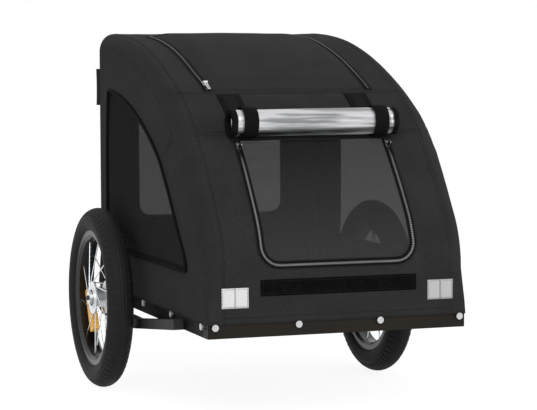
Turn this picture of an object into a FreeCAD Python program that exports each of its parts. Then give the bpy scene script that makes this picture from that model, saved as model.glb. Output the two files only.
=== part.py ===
import FreeCAD, Part
import Sketcher
import math
import os
import re
from FreeCAD import Placement, Rotation, Vector

# A two-wheeled dog trailer towed by a bicycle, in millimetres.
# +Z is up, the towing end faces -Y, X runs across, the wheels stand on z = 0.
doc = FreeCAD.newDocument("dog_bike_trailer")

SIZES = {
    # base frame
    "cabin_width": 413,
    "cabin_length": 620,
    "axle_above_rail": 13,
    "rail_tube": 25,
    "rail_wall": 1.5,
    "crossbar_first": 200,
    "crossbar_axle_distance": 122,
    "floor_thickness": 5,
    "floor_clearance": 0.5,
    "floor_notch": 29,
    # hoops
    "hoop_diameter": 16,
    "hoop_wall": 1.2,
    "hoop_inset": 15,
    "hoop_bend_radius": 24,
    "socket_wall": 2.4,
    "socket_height": 26,
    "fit_clearance": 0.05,
    # side profile of the cabin
    "front_wall_height": 90,
    "lower_bend_radius": 150,
    "front_lean": 35,
    "front_radius": 850,
    "header_lean": 47,
    "header_radius": 240,
    "roof_lean": 59,
    "rear_corner_radius": 31,
    "edge_radius": 24,
    "hem_edge_radius": 0.4,
    # cloth
    "cover_clearance": 0.2,
    "cover_thickness": 1.8,
    "hem_height": 20.2,
    "header_seam_height": 295,
    "mesh_thickness": 1.2,
    "sewing_gap": 0.3,
    "seam_inset": 1,
    "trim_clearance": 0.1,
    "piping_diameter": 4,
    "window_margin": 92,
    "window_bottom": 92,
    "window_rear_margin": 82,
    "window_corner_radius": 16,
    "rear_window_width": 276,
    "rear_window_bottom": 130,
    "rear_window_top": 372,
    "rear_window_radius": 25,
    # zipped mesh door and roof flap
    "door_width": 236,
    "door_bottom": 110,
    "header_gap": 11,
    "door_corner_radius": 24,
    "flap_width": 264,
    "flap_setback": 88,
    "flap_rear_margin": 68,
    "flap_corner_radius": 20,
    "zip_gap": 0.8,
    "door_swing_gap": 0.7,
    "zip_width": 9,
    "zip_height": 2,
    "slider_length": 13,
    "slider_width": 8,
    "slider_base": 2.6,
    "slider_ear": 1.4,
    "slider_clearance": 0.4,
    "pull_pin_diameter": 1.8,
    "pull_eye_diameter": 4.6,
    "pull_width": 4.4,
    "pull_length": 24,
    "pull_thickness": 1.6,
    "pull_rim": 1.4,
    "roof_slider_setback": 14,
    "door_slider_drop": 10,
    # trim on the cover
    "strip_length": 250,
    "strip_width": 24,
    "strip_thickness": 1.6,
    "strip_height": 73,
    "patch_width": 42,
    "patch_tall": 30,
    "patch_offset": 165,
    "patch_height": 59.5,
    "roll_diameter": 46,
    "roll_core": 36,
    "roll_length": 272,
    "strap_width": 26,
    "strap_thickness": 1.5,
    "strap_offset": 110,
    "sleeve_reach": 20,
    "sleeve_width": 24,
    "sleeve_tall": 63,
    "sleeve_bottom": 331,
    "sleeve_bore": 9,
    # fasteners
    "bolt_diameter": 6,
    "bolt_head_diameter": 10.4,
    "bolt_head_height": 3.2,
    "bolt_length": 18,
    "bolt_height": 17,
    "bolt_corner": 10,
    "side_bolt_first": 20,
    "side_bolt_pitch": 155,
    # wheels
    "wheel_diameter": 300,
    "wheel_track": 496,
    "axle_rear_distance": 158,
    "tyre_width": 44,
    "tyre_wall": 3.2,
    "tube_wall": 1.4,
    "tube_clearance": 0.8,
    "rim_width": 30,
    "bead_depth": 7,
    "rim_lip": 2.4,
    "rim_bed_depth": 4.6,
    "rim_depth": 13,
    "valve_diameter": 6,
    "valve_length": 22,
    "hub_width": 30,
    "hub_barrel_diameter": 32,
    "flange_diameter": 55,
    "flange_thickness": 3,
    "flange_spacing": 24,
    "bearing_diameter": 28,
    "bearing_width": 8,
    "hub_bore": 16,
    "axle_diameter": 12,
    "axle_insertion": 72,
    "axle_collar_diameter": 18,
    "axle_cap_diameter": 22,
    "axle_cap_length": 5,
    "button_diameter": 8,
    "button_length": 5,
    "button_travel": 2.5,
    "button_proud": 0.7,
    "spoke_diameter": 2,
    "spoke_lean": 38,
    "spoke_spread": 5,
    "reflector_length": 75,
    "reflector_width": 22,
    "reflector_gap": 21,
    "reflector_clip": 0.4,
    "reflector_angle": 207,
    # axle carrier and towing bracket
    "axle_tube_diameter": 20,
    "bow_tube": 16,
    "bow_wall": 1.5,
    "bow_drop": 31,
    "bow_end_rise": 7.5,
    "bow_front_reach": 340,
    "bow_low_front_reach": 117,
    "bow_low_rear_reach": 86,
    "bow_rear_reach": 138,
    "bow_bend_radius": 60,
    "hanger_thickness": 6,
    "hanger_width": 36,
    "hanger_wall": 6,
    "tow_plate_front": 62,
    "tow_plate_length": 70,
    "tow_plate_width": 60,
    "tow_plate_thickness": 5,
    "tow_hole_diameter": 8.5,
    "tow_hole_spacing": 40,
    "tow_hole_edge": 18,
}
SPOKES_PER_FLANGE = 10
FRONT_BOLTS = 4
SIDE_BOLTS = 4

# Places that follow from the driving sizes
PLACES = {
    "cover_out": "cover_clearance + cover_thickness",
    "front_y": "-(cabin_length + sleeve_reach - cover_clearance - cover_thickness - bolt_head_height) / 2",
    "rear_y": "front_y + cabin_length",
    "half_width": "cabin_width / 2",
    "axle_y": "rear_y - axle_rear_distance",
    "axle_z": "wheel_diameter / 2",
    "wheel_x": "wheel_track / 2",
    "rim_lip_diameter": "wheel_diameter - 2 * (tyre_width - bead_depth)",
    "rail_bottom_height": "axle_z - axle_above_rail",
    "rail_top": "rail_bottom_height + rail_tube",
    "hem_z": "rail_bottom_height + hem_height",
    "bow_end_z": "rail_bottom_height + bow_end_rise",
    "bow_low_z": "axle_z - bow_drop",
    "hoop_x": "half_width - hoop_inset",
    "hoop_front_y": "front_y + hoop_inset",
    "hoop_rear_y": "rear_y - hoop_inset",
    "tube_end_x": "half_width + bow_tube",
    "bolt_z": "rail_bottom_height + bolt_height",
    "tow_x": "half_width - tow_plate_width",
    "tow_middle_y": "front_y + tow_plate_front + tow_plate_length / 2",
    "tow_plate_z": "rail_bottom_height - tow_plate_thickness",
}

sheet = doc.addObject("Spreadsheet::Sheet", "sizes")
for row, (alias, value) in enumerate(SIZES.items(), 1):
    sheet.set(f"A{row}", alias)
    sheet.set(f"B{row}", str(value))
    sheet.setAlias(f"B{row}", alias)
doc.recompute()

places = doc.addObject("Spreadsheet::Sheet", "places")


def formula(text):
    """A formula in the names of the sheets, with each name's sheet written before it."""
    def with_sheet(found):
        name = found.group()
        if name in SIZES:
            return "sizes." + name
        return "places." + name if name in PLACES else name
    return re.sub(r"[a-z][a-z_]+", with_sheet, str(text))


for row, (alias, text) in enumerate(PLACES.items(), 1):
    places.set(f"A{row}", alias)
    places.set(f"B{row}", "=" + formula(text).replace("places.", ""))
    places.setAlias(f"B{row}", alias)
    doc.recompute()


def size(alias):
    """The number that a cell of either sheet holds now."""
    return float((sheet if alias in SIZES else places).get(alias))


PARTS = []


def keep(item, label):
    """Makes an object a sub-part, under the name of its file."""
    item.Label = label
    PARTS.append(item)
    return item


def bind(item, **formulas):
    """Binds properties of an object to the sheets."""
    for name, text in formulas.items():
        item.setExpression(name, formula(text))
    return item


def put(item, x=0, y=0, z=0, turn=None):
    """Places an object by formulas, after an optional turn."""
    if turn:
        item.Placement = Placement(Vector(), turn)
    for axis, text in zip("xyz", (x, y, z)):
        item.setExpression(f".Placement.Base.{axis}", formula(text))
    return item


def box(name, length, width, height, x, y, z):
    item = doc.addObject("Part::Box", name)
    bind(item, Length=length, Width=width, Height=height)
    return put(item, x, y, z)


ALONG_X = Rotation(Vector(0, 1, 0), 90)


def cylinder(name, radius, height, x, y, z, turn=None):
    item = doc.addObject("Part::Cylinder", name)
    bind(item, Radius=radius, Height=height)
    return put(item, x, y, z, turn)


def cut(name, base, tool):
    item = doc.addObject("Part::Cut", name)
    item.Base = base
    item.Tool = tool
    return item


def fuse(name, items):
    item = doc.addObject("Part::MultiFuse", name)
    item.Shapes = items
    return item


def group(name, items):
    item = doc.addObject("Part::Compound", name)
    item.Links = items
    return item


def solid(label, shape):
    """A sub-part whose shape is worked out from the sheets here."""
    return keep(shape_object(label, shape), label)


def shape_object(name, shape):
    item = doc.addObject("Part::Feature", name)
    if shape.ShapeType == "Compound" and len(shape.Solids) == 1:
        shape = shape.Solids[0]
    item.Shape = shape
    return item


def origin_plane(body, role):
    return next(plane for plane in body.Origin.OriginFeatures if plane.Role == role)


def revolved(name, outline):
    """A body turned about X from an outline of (along x, radius) formulas."""
    body = doc.addObject("PartDesign::Body", name)
    sketch = body.newObject("Sketcher::SketchObject", name + "_outline")
    sketch.AttachmentSupport = [(origin_plane(body, "XY_Plane"), "")]
    sketch.MapMode = "FlatFace"
    count = len(outline)
    start_middle = Vector(size("wheel_x"), size("axle_z"), 0)
    start_reach = Vector(size("rim_width"), 0, 0)
    corners = []
    for step in range(count):
        turn = Rotation(Vector(0, 0, 1), 360 * step / count)
        corners.append(start_middle + turn.multVec(start_reach))
    for step in range(count):
        sketch.addGeometry(Part.LineSegment(corners[step], corners[(step + 1) % count]), False)
    for step in range(count):
        sketch.addConstraint(Sketcher.Constraint("Coincident", step, 2, (step + 1) % count, 1))
    for step, place in enumerate(outline):
        for kind, text, value in zip(("DistanceX", "DistanceY"), place, corners[step]):
            index = sketch.addConstraint(Sketcher.Constraint(kind, -1, 1, step, 1, value))
            sketch.setExpression(f"Constraints[{index}]", formula(text))
    doc.recompute()
    turned = body.newObject("PartDesign::Revolution", name + "_turned")
    turned.Profile = sketch
    turned.ReferenceAxis = (sketch, ["H_Axis"])
    turned.Angle = 360
    doc.recompute()
    return body


# Fasteners: where the cover is bolted to the rails

def bolt_places():
    """Points on the rails' outer faces with the direction that each bolt head faces."""
    reach = size("half_width") - size("bolt_corner")
    found = []
    for step in range(FRONT_BOLTS):
        across = -reach + 2 * reach * step / (FRONT_BOLTS - 1)
        for y, outward in ((size("front_y"), -1), (size("rear_y"), 1)):
            found.append((Vector(across, y, size("bolt_z")), Vector(0, outward, 0)))
    for step in range(SIDE_BOLTS):
        along = size("front_y") + size("side_bolt_first") + step * size("side_bolt_pitch")
        for outward in (-1, 1):
            place = Vector(outward * size("half_width"), along, size("bolt_z"))
            found.append((place, Vector(outward, 0, 0)))
    return found


def bolt(place, outward):
    seat = place + outward * size("cover_out")
    head = Part.makeCylinder(size("bolt_head_diameter") / 2, size("bolt_head_height"), seat, outward)
    shank = Part.makeCylinder(size("bolt_diameter") / 2, size("bolt_length"), seat, -outward)
    return head.fuse(shank).removeSplitter()


def bolt_hole(place, outward):
    radius = size("bolt_diameter") / 2 + size("fit_clearance")
    depth = size("cover_out") + size("rail_tube") / 2
    return Part.makeCylinder(radius, depth, place + outward * size("cover_out"), -outward)


BOLT_PLACES = bolt_places()
solid("rail_bolts", Part.makeCompound([bolt(*spot) for spot in BOLT_PLACES]))
bolt_holes = shape_object("bolt_holes", Part.makeCompound([bolt_hole(*spot) for spot in BOLT_PLACES]))


# Base frame of square tube

def rail_across(name, y):
    tube = box(name + "_tube", "cabin_width", "rail_tube", "rail_tube",
               "-half_width", y, "rail_bottom_height")
    hollow = box(name + "_hollow", "cabin_width - 2 * rail_wall", "rail_tube - 2 * rail_wall",
                 "rail_tube - 2 * rail_wall", "-half_width + rail_wall", y + " + rail_wall",
                 "rail_bottom_height + rail_wall")
    return cut(name + "_open", tube, hollow)


def rail_along(name, x):
    length = "cabin_length - 2 * rail_tube"
    tube = box(name + "_tube", "rail_tube", length, "rail_tube",
               x, "front_y + rail_tube", "rail_bottom_height")
    hollow = box(name + "_hollow", "rail_tube - 2 * rail_wall", length, "rail_tube - 2 * rail_wall",
                 x + " + rail_wall", "front_y + rail_tube", "rail_bottom_height + rail_wall")
    drilled = cut(name + "_drilled", cut(name + "_open", tube, hollow), bolt_holes)
    return cut(name, drilled, axle_tube_space)


def crossbar(name, middle):
    length = "cabin_width - 2 * rail_tube"
    side = "-half_width + rail_tube"
    tube = box(name + "_tube", length, "rail_tube", "rail_tube", side,
               f"{middle} - rail_tube / 2", "rail_bottom_height")
    hollow = box(name + "_hollow", length, "rail_tube - 2 * rail_wall", "rail_tube - 2 * rail_wall", side,
                 f"{middle} - rail_tube / 2 + rail_wall", "rail_bottom_height + rail_wall")
    return cut(name, tube, hollow)


axle_tube_space = cylinder("axle_tube_space", "axle_tube_diameter / 2 + fit_clearance", "2 * tube_end_x",
                           "-tube_end_x", "axle_y", "axle_z", ALONG_X)
keep(cut("front_rail", rail_across("front_rail", "front_y"), bolt_holes), "front_rail")
keep(cut("rear_rail", rail_across("rear_rail", "rear_y - rail_tube"), bolt_holes), "rear_rail")
keep(rail_along("left_rail", "-half_width"), "left_rail")
keep(rail_along("right_rail", "half_width - rail_tube"), "right_rail")
keep(group("floor_crossbars", [crossbar("crossbar_a", "front_y + crossbar_first"),
                               crossbar("crossbar_b", "axle_y - crossbar_axle_distance")]),
     "floor_crossbars")

axle_tube_bar = cylinder("axle_tube_bar", "axle_tube_diameter / 2", "2 * tube_end_x",
                         "-tube_end_x", "axle_y", "axle_z", ALONG_X)
axle_tube_bore = cylinder("axle_tube_bore", "axle_diameter / 2 + fit_clearance", "2 * tube_end_x",
                          "-tube_end_x", "axle_y", "axle_z", ALONG_X)
keep(cut("axle_tube", axle_tube_bar, axle_tube_bore), "axle_tube")

floor_sheet = box("floor_sheet", "cabin_width - 2 * floor_clearance", "cabin_length - 2 * floor_clearance",
                  "floor_thickness", "-half_width + floor_clearance", "front_y + floor_clearance", "rail_top")
floor_notches = group("floor_notches", [
    box(f"notch_{index}", "floor_notch", "floor_notch", "floor_thickness", x, y, "rail_top")
    for index, (x, y) in enumerate((x, y) for x in ("-half_width", "half_width - floor_notch")
                                   for y in ("front_y", "rear_y - floor_notch"))])
keep(cut("floor_panel", floor_sheet, floor_notches), "floor_panel")

# Plate under the right rail, behind the front rail, that a towing arm bolts up against
tow_plate = box("tow_plate", "tow_plate_width", "tow_plate_length", "tow_plate_thickness",
                "tow_x", "front_y + tow_plate_front", "tow_plate_z")
tow_holes = group("tow_holes", [
    cylinder(f"tow_hole_{index}", "tow_hole_diameter / 2", "tow_plate_thickness", "tow_x + tow_hole_edge",
             f"tow_middle_y + {side} * tow_hole_spacing / 2", "tow_plate_z")
    for index, side in enumerate((-1, 1))])
keep(cut("tow_bracket", tow_plate, tow_holes), "tow_bracket")


# Bent bars, as bands round a line of points with rounded corners

def left_of(start, end):
    step = (end - start).normalize()
    return Vector(0, -step.z, step.y)


def shifted(points, distance):
    """A line of points in the YZ plane, moved to its left by a distance."""
    moved = []
    for index, point in enumerate(points):
        sides = []
        if index > 0:
            sides.append(left_of(points[index - 1], point))
        if index + 1 < len(points):
            sides.append(left_of(point, points[index + 1]))
        total = sum(sides, Vector())
        moved.append(point + total * (distance / total.dot(sides[0])))
    return moved


def rounded_edges(points, radii):
    """Lines through the points, with each corner between them turned into an arc."""
    edges = []
    start = points[0]
    for before, corner, after, radius in zip(points, points[1:], points[2:], radii):
        inward = (before - corner).normalize()
        onward = (after - corner).normalize()
        half_turn = (math.pi - inward.getAngle(onward)) / 2
        reach = radius * math.tan(half_turn)
        middle = (inward + onward).normalize() * (radius / math.cos(half_turn) - radius)
        edges.append(Part.LineSegment(start, corner + inward * reach).toShape())
        edges.append(Part.Arc(corner + inward * reach, corner + middle, corner + onward * reach).toShape())
        start = corner + onward * reach
    edges.append(Part.LineSegment(start, points[-1]).toShape())
    return edges


def bent_bar(points, bend_radius, thickness, x, width):
    """A bar of rectangular section along rounded points in the YZ plane, from x on."""
    sides = []
    for sign in (1, -1):
        radii = []
        for before, corner, after in zip(points, points[1:], points[2:]):
            turn = left_of(before, corner).dot(after - corner)
            inside = sign if turn > 0 else -sign
            radii.append(bend_radius - inside * thickness / 2)
        sides.append((shifted(points, sign * thickness / 2), radii))
    (upper, upper_radii), (lower, lower_radii) = sides
    edges = rounded_edges(upper, upper_radii) + rounded_edges(lower, lower_radii)
    edges.append(Part.LineSegment(upper[0], lower[0]).toShape())
    edges.append(Part.LineSegment(upper[-1], lower[-1]).toShape())
    face = Part.Face(Part.Wire(Part.__sortEdges__(edges)))
    face.translate(Vector(x, 0, 0))
    return face.extrude(Vector(width, 0, 0))


def behind(distance, z, x=0):
    """A point at a distance behind the front rail's face."""
    return Vector(x, size("front_y") + distance, z)


def axle_bow(side):
    """The bent carrier bar outside a side rail, with the hanger plate that holds the axle tube."""
    tube = size("bow_tube")
    wall = size("bow_wall")
    middle = size("axle_y")
    points = [Vector(0, middle - size("bow_front_reach"), size("bow_end_z")),
              Vector(0, middle - size("bow_low_front_reach"), size("bow_low_z")),
              Vector(0, middle + size("bow_low_rear_reach"), size("bow_low_z")),
              Vector(0, middle + size("bow_rear_reach"), size("bow_end_z"))]
    radius = size("bow_bend_radius")
    inner_face = size("half_width")
    bar = bent_bar(points, radius, tube, inner_face, tube)
    ends = [(points[1] - points[0]).normalize() * wall, (points[2] - points[3]).normalize() * wall]
    hollow_points = [points[0] + ends[0], points[1], points[2], points[3] + ends[1]]
    hollow = bent_bar(hollow_points, radius, tube - 2 * wall, inner_face + wall, tube - 2 * wall)
    axle = Vector(inner_face, size("axle_y"), size("axle_z"))
    hole_radius = size("axle_tube_diameter") / 2 + size("fit_clearance")
    eye_radius = size("axle_tube_diameter") / 2 + size("hanger_wall")
    thickness = size("hanger_thickness")
    plate_x = inner_face + (tube - thickness) / 2
    seat_z = size("bow_low_z") + tube / 2 - wall
    plate = Part.makeBox(thickness, size("hanger_width"), axle.z - seat_z,
                         Vector(plate_x, axle.y - size("hanger_width") / 2, seat_z))
    eye = Part.makeCylinder(eye_radius, thickness, Vector(plate_x, axle.y, axle.z), Vector(1, 0, 0))
    hole = Part.makeCylinder(hole_radius, tube, axle, Vector(1, 0, 0))
    bow = bar.cut(hollow).fuse([plate, eye]).cut(hole).removeSplitter()
    return bow if side > 0 else bow.mirror(Vector(), Vector(1, 0, 0))


solid("left_axle_bow", axle_bow(-1))
solid("right_axle_bow", axle_bow(1))


# Side profile of the cabin: a straight front foot, then arcs that share their tangents

def profile_arcs():
    """Each arc as (centre behind the front, centre height, radius, lean at its start, lean at its end)."""
    leans = [0, size("front_lean"), size("header_lean"), size("roof_lean"), 90]
    radii = [size("lower_bend_radius"), size("front_radius"), size("header_radius")]
    arcs = []
    along = size("lower_bend_radius")
    height = size("rail_bottom_height") + size("front_wall_height")
    for radius, start, end in zip(radii, leans, leans[1:]):
        if arcs:
            along -= (arcs[-1][2] - radius) * math.cos(math.radians(start))
            height += (arcs[-1][2] - radius) * math.sin(math.radians(start))
        arcs.append((along, height, radius, start, end))
    lean = math.radians(leans[3])
    roof_start = along - arcs[-1][2] * math.cos(lean)
    roof_radius = (size("cabin_length") - size("rear_corner_radius") - roof_start) / math.cos(lean)
    along -= (arcs[-1][2] - roof_radius) * math.cos(lean)
    height += (arcs[-1][2] - roof_radius) * math.sin(lean)
    arcs.append((along, height, roof_radius, leans[3], 90))
    corner = size("rear_corner_radius")
    arcs.append((along, height + roof_radius - corner, corner, 90, 180))
    return arcs


ARCS = profile_arcs()
FRONT_TOP = size("rail_bottom_height") + size("front_wall_height")
ROOF_TOP = ARCS[3][1] + ARCS[3][2]


def on_arc(arc, lean, offset=0, x=0):
    along, height, radius = arc[:3]
    angle = math.radians(lean)
    reach = radius + offset
    return behind(along - reach * math.cos(angle), height + reach * math.sin(angle), x)


def arc_edges(offset, arcs, x=0):
    edges = []
    for arc in arcs:
        start, end = arc[3:]
        ends = [on_arc(arc, lean, offset, x) for lean in (start, (start + end) / 2, end)]
        edges.append(Part.Arc(*ends).toShape())
    return edges


def lean_at_height(z):
    """The arc and lean of the front surface at a height."""
    for arc in ARCS[:4]:
        along, height, radius, start, end = arc
        lean = math.degrees(math.asin(max(-1, min(1, (z - height) / radius))))
        if start <= lean <= end:
            return arc, lean
    return ARCS[0], 0


def lean_behind(distance):
    """The arc and lean of the roof surface at a distance behind the front."""
    for arc in ARCS[:4]:
        along, height, radius, start, end = arc
        lean = math.degrees(math.acos(max(-1, min(1, (along - distance) / radius))))
        if start <= lean <= end:
            return arc, lean
    return ARCS[3], 90


def profile_block(offset, bottom, width):
    """The cabin's profile, moved outward by an offset, as a block across the trailer."""
    length = size("cabin_length")
    foot = behind(-offset, bottom)
    front = behind(-offset, FRONT_TOP)
    heel = behind(length + offset, bottom)
    edges = [Part.LineSegment(foot, front).toShape()] if bottom < FRONT_TOP else []
    edges += arc_edges(offset, ARCS)
    edges.append(Part.LineSegment(on_arc(ARCS[4], 180, offset), heel).toShape())
    edges.append(Part.LineSegment(heel, foot).toShape())
    face = Part.Face(Part.Wire(edges))
    face.translate(Vector(-width / 2, 0, 0))
    return face.extrude(Vector(width, 0, 0))


def skin(inner, outer):
    """A layer of cloth over the front and roof, between two offsets from the profile."""
    width = size("cabin_width")
    low = size("rail_bottom_height")
    return profile_block(outer, low, width).cut(profile_block(inner, low, width))


# Hoops of round tube

def pipe(edges, radius):
    path = Part.Wire(edges)
    start = path.Edges[0]
    ring = Part.Wire(Part.makeCircle(radius, start.valueAt(start.FirstParameter),
                                     start.tangentAt(start.FirstParameter)))
    return path.makePipeShell([ring], True, False)


def hoop_tube(edges):
    radius = size("hoop_diameter") / 2
    return pipe(edges, radius), pipe(edges, radius - size("hoop_wall"))


def arch_edges(side):
    inset = size("hoop_inset")
    x = side * size("hoop_x")
    foot = behind(inset, size("rail_top"), x)
    straight = Part.LineSegment(foot, behind(inset, FRONT_TOP, x)).toShape()
    end = on_arc(ARCS[3], 90, -inset, x)
    tail = Part.LineSegment(end, Vector(x, size("hoop_rear_y"), end.z)).toShape()
    return [straight] + arc_edges(-inset, ARCS[:4], x) + [tail]


hoop_top = ROOF_TOP - size("hoop_inset")
hoop_corners = [Vector(side * size("hoop_x"), size("hoop_rear_y"), z)
                for side, z in ((-1, size("rail_top")), (-1, hoop_top), (1, hoop_top), (1, size("rail_top")))]
hoop_solid, hoop_hollow = hoop_tube(rounded_edges(hoop_corners, [size("hoop_bend_radius")] * 2))
solid("rear_hoop", hoop_solid.cut(hoop_hollow))

for name, side in (("left", -1), ("right", 1)):
    arch_solid, arch_hollow = hoop_tube(arch_edges(side))
    solid(name + "_arch_tube", arch_solid.cut(arch_hollow).cut(hoop_solid))

header_z = size("rail_bottom_height") + size("header_seam_height")
seam_arc, seam_lean = lean_at_height(header_z)
flap_front = on_arc(seam_arc, seam_lean).y + size("flap_setback")
flap_rear = size("rear_y") - size("flap_rear_margin")
flap_arc, flap_lean = lean_behind(flap_front - size("front_y"))
bar_start = on_arc(flap_arc, flap_lean, -size("hoop_inset"), -size("hoop_x"))
bar_length = 2 * size("hoop_x")
bar_solid = Part.makeCylinder(size("hoop_diameter") / 2, bar_length, bar_start, Vector(1, 0, 0))
bar_hollow = Part.makeCylinder(size("hoop_diameter") / 2 - size("hoop_wall"), bar_length, bar_start,
                               Vector(1, 0, 0))
roof_bar = bar_solid.cut(bar_hollow)
for side in (-1, 1):
    roof_bar = roof_bar.cut(pipe(arch_edges(side), size("hoop_diameter") / 2 + size("trim_clearance")))
solid("roof_bar", roof_bar)


def hoop_socket(index, x, y):
    cup = cylinder(f"socket_cup_{index}", "hoop_diameter / 2 + socket_wall", "socket_height",
                   x, y, "rail_top")
    bore = cylinder(f"socket_bore_{index}", "hoop_diameter / 2 + fit_clearance", "socket_height",
                    x, y, "rail_top")
    return cut(f"socket_{index}", cup, bore)


SOCKET_PLACES = [(x, y) for x in ("-hoop_x", "hoop_x") for y in ("hoop_front_y", "hoop_rear_y")]
keep(group("hoop_sockets", [hoop_socket(index, *spot) for index, spot in enumerate(SOCKET_PLACES)]),
     "hoop_sockets")


# Cloth cover: one bag over the hoops, sewn from a front, a roof, two sides and a rear panel

def rounded_rectangle(width, depth, radius, z, y_middle):
    """A horizontal rounded rectangle about x = 0."""
    x = width / 2
    y = depth / 2
    corner = radius * (1 - math.sqrt(0.5))
    edges = []
    for sx, sy in ((1, -1), (1, 1), (-1, 1), (-1, -1)):
        flat = Vector(sx * (x - radius), y_middle + sy * y, z)
        bend = Vector(sx * (x - corner), y_middle + sy * (y - corner), z)
        upright = Vector(sx * x, y_middle + sy * (y - radius), z)
        ends = (flat, bend, upright) if sx * sy < 0 else (upright, bend, flat)
        edges.append(Part.Arc(*ends).toShape())
    joined = []
    for arc, following in zip(edges, edges[1:] + edges[:1]):
        joined.append(arc)
        joined.append(Part.LineSegment(arc.Vertexes[-1].Point, following.Vertexes[0].Point).toShape())
    return Part.Wire(joined)


def bag(offset, bottom, hem_radius, edge_radius):
    """The cabin's full outside at an offset, sharp at the hem and rounded along its upper edges."""
    width = size("cabin_width") + 2 * offset
    depth = size("cabin_length") + 2 * offset
    y_middle = size("front_y") + size("cabin_length") / 2
    levels = [(bottom, hem_radius), (size("rail_top"), hem_radius), (FRONT_TOP, edge_radius)]
    foot = Part.makeLoft([rounded_rectangle(width, depth, radius, z, y_middle) for z, radius in levels],
                         True, True)
    upper = profile_block(offset, FRONT_TOP, width)
    side_edges = []
    for edge in upper.Edges:
        box_of_edge = edge.BoundBox
        if box_of_edge.XLength < 1e-6 and box_of_edge.ZMax > FRONT_TOP + 1e-3:
            side_edges.append(edge)
    return foot, upper.makeFillet(edge_radius, side_edges)


def cover_layers():
    """The bag's foot and its upper part, as hollow shells."""
    outer = size("cover_out")
    inner = size("cover_clearance")
    hem = size("hem_z")
    thickness = size("cover_thickness")
    hem_radius = size("hem_edge_radius")
    outer_foot, outer_upper = bag(outer, hem, hem_radius + thickness, size("edge_radius"))
    inner_foot, inner_upper = bag(inner, hem, hem_radius, size("edge_radius") - thickness)
    return outer_foot.cut(inner_foot), outer_upper.cut(inner_upper)


def slab(x_range, y_range, z_range):
    (x0, x1), (y0, y1), (z0, z1) = x_range, y_range, z_range
    return Part.makeBox(x1 - x0, y1 - y0, z1 - z0, Vector(x0, y0, z0))


FAR = 2 * size("cabin_length") + 2 * size("cabin_width")
rail_z = size("rail_bottom_height")
seam_depth = size("edge_radius") + size("seam_inset") - size("cover_out")
seam_x = size("half_width") - seam_depth
rear_seam_y = size("rear_y") - seam_depth
middle_y = size("front_y") + size("cabin_length") / 2


def tall_outline(width, bottom, top, radius, round_top):
    """An upright rectangle in the XZ plane with rounded lower, and perhaps upper, corners, through all y."""
    block = slab((-width / 2, width / 2), (-FAR, FAR), (bottom, top))
    corners = []
    for edge in block.Edges:
        if edge.BoundBox.YLength > FAR and (round_top or edge.BoundBox.ZMax < (bottom + top) / 2):
            corners.append(edge)
    return block.makeFillet(radius, corners)


def flat_outline(width, front, rear, radius):
    """A level rectangle with rounded rear corners, through all z above the hem."""
    block = slab((-width / 2, width / 2), (front, rear), (header_z, header_z + FAR))
    corners = []
    for edge in block.Edges:
        if edge.BoundBox.ZLength > FAR / 2 and edge.BoundBox.YMin > (front + rear) / 2:
            corners.append(edge)
    return block.makeFillet(radius, corners)


def window_face(shrink):
    """The side window in the YZ plane: the cabin's profile drawn in by a margin, cut level and upright."""
    margin = size("window_margin")
    foot = behind(margin, rail_z)
    end = on_arc(ARCS[3], 90, -margin)
    heel = Vector(0, end.y, rail_z)
    edges = [Part.LineSegment(foot, behind(margin, FRONT_TOP)).toShape()] + arc_edges(-margin, ARCS[:4])
    edges += [Part.LineSegment(end, heel).toShape(), Part.LineSegment(heel, foot).toShape()]
    drawn_in = Part.Face(Part.Wire(edges))
    frame_box = slab((-1, 1), (size("front_y"), size("rear_y") - size("window_rear_margin")),
                     (rail_z + size("window_bottom"), rail_z + FAR))
    face = drawn_in.common(frame_box).Faces[0]
    radius = size("window_corner_radius")
    return face.makeOffset2D(-radius, 2).makeOffset2D(radius - shrink, 0)


def rear_window(shrink):
    return tall_outline(size("rear_window_width") - 2 * shrink, rail_z + size("rear_window_bottom") + shrink,
                        rail_z + size("rear_window_top") - shrink, size("rear_window_radius") - shrink, True)


door_bottom = rail_z + size("door_bottom")
door_top = header_z - size("header_gap")


def door_outline(grow, top):
    return tall_outline(size("door_width") + 2 * grow, door_bottom - grow, top,
                        size("door_corner_radius") + grow, False)


def flap_outline(grow, front):
    return flat_outline(size("flap_width") + 2 * grow, front, flap_rear + grow,
                        size("flap_corner_radius") + grow)


front_half = slab((-FAR, FAR), (-FAR, middle_y), (0, FAR))
rear_half = slab((-FAR, FAR), (middle_y, FAR), (0, FAR))
COVER_LAYERS = cover_layers()
window_hole = window_face(0).extrude(Vector(FAR, 0, 0))
door_hole = door_outline(0, door_top).common(front_half)
rear_hole = rear_window(0).common(rear_half)
flap_hole = flap_outline(0, flap_front)


def panel(x_range, y_range, z_range, hole):
    """The part of the cover inside a region, less its opening and its bolt holes."""
    region = slab(x_range, y_range, z_range)
    pieces = []
    for layer in COVER_LAYERS:
        pieces += layer.common(region).Solids
    sewn = pieces[0].fuse(pieces[1:]).removeSplitter()
    return sewn.cut(hole).cut(bolt_holes.Shape)


EVERYWHERE = (-FAR, FAR)
AHEAD = (-FAR, rear_seam_y)
BETWEEN = (-seam_x, seam_x)
solid("front_cover", panel(BETWEEN, AHEAD, (0, header_z), door_hole))
solid("roof_cover", panel(BETWEEN, AHEAD, (header_z, FAR), flap_hole))
axle_notch = Part.makeCylinder(size("axle_tube_diameter") / 2 + size("sewing_gap"), size("tube_end_x"),
                               Vector(0, size("axle_y"), size("axle_z")), Vector(1, 0, 0))
right_panel = panel((seam_x, FAR), AHEAD, (0, FAR), window_hole).cut(axle_notch)
solid("right_cover", right_panel)
solid("left_cover", right_panel.mirror(Vector(), Vector(1, 0, 0)))
solid("rear_cover", panel(EVERYWHERE, (rear_seam_y, FAR), (0, FAR), rear_hole))

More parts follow.
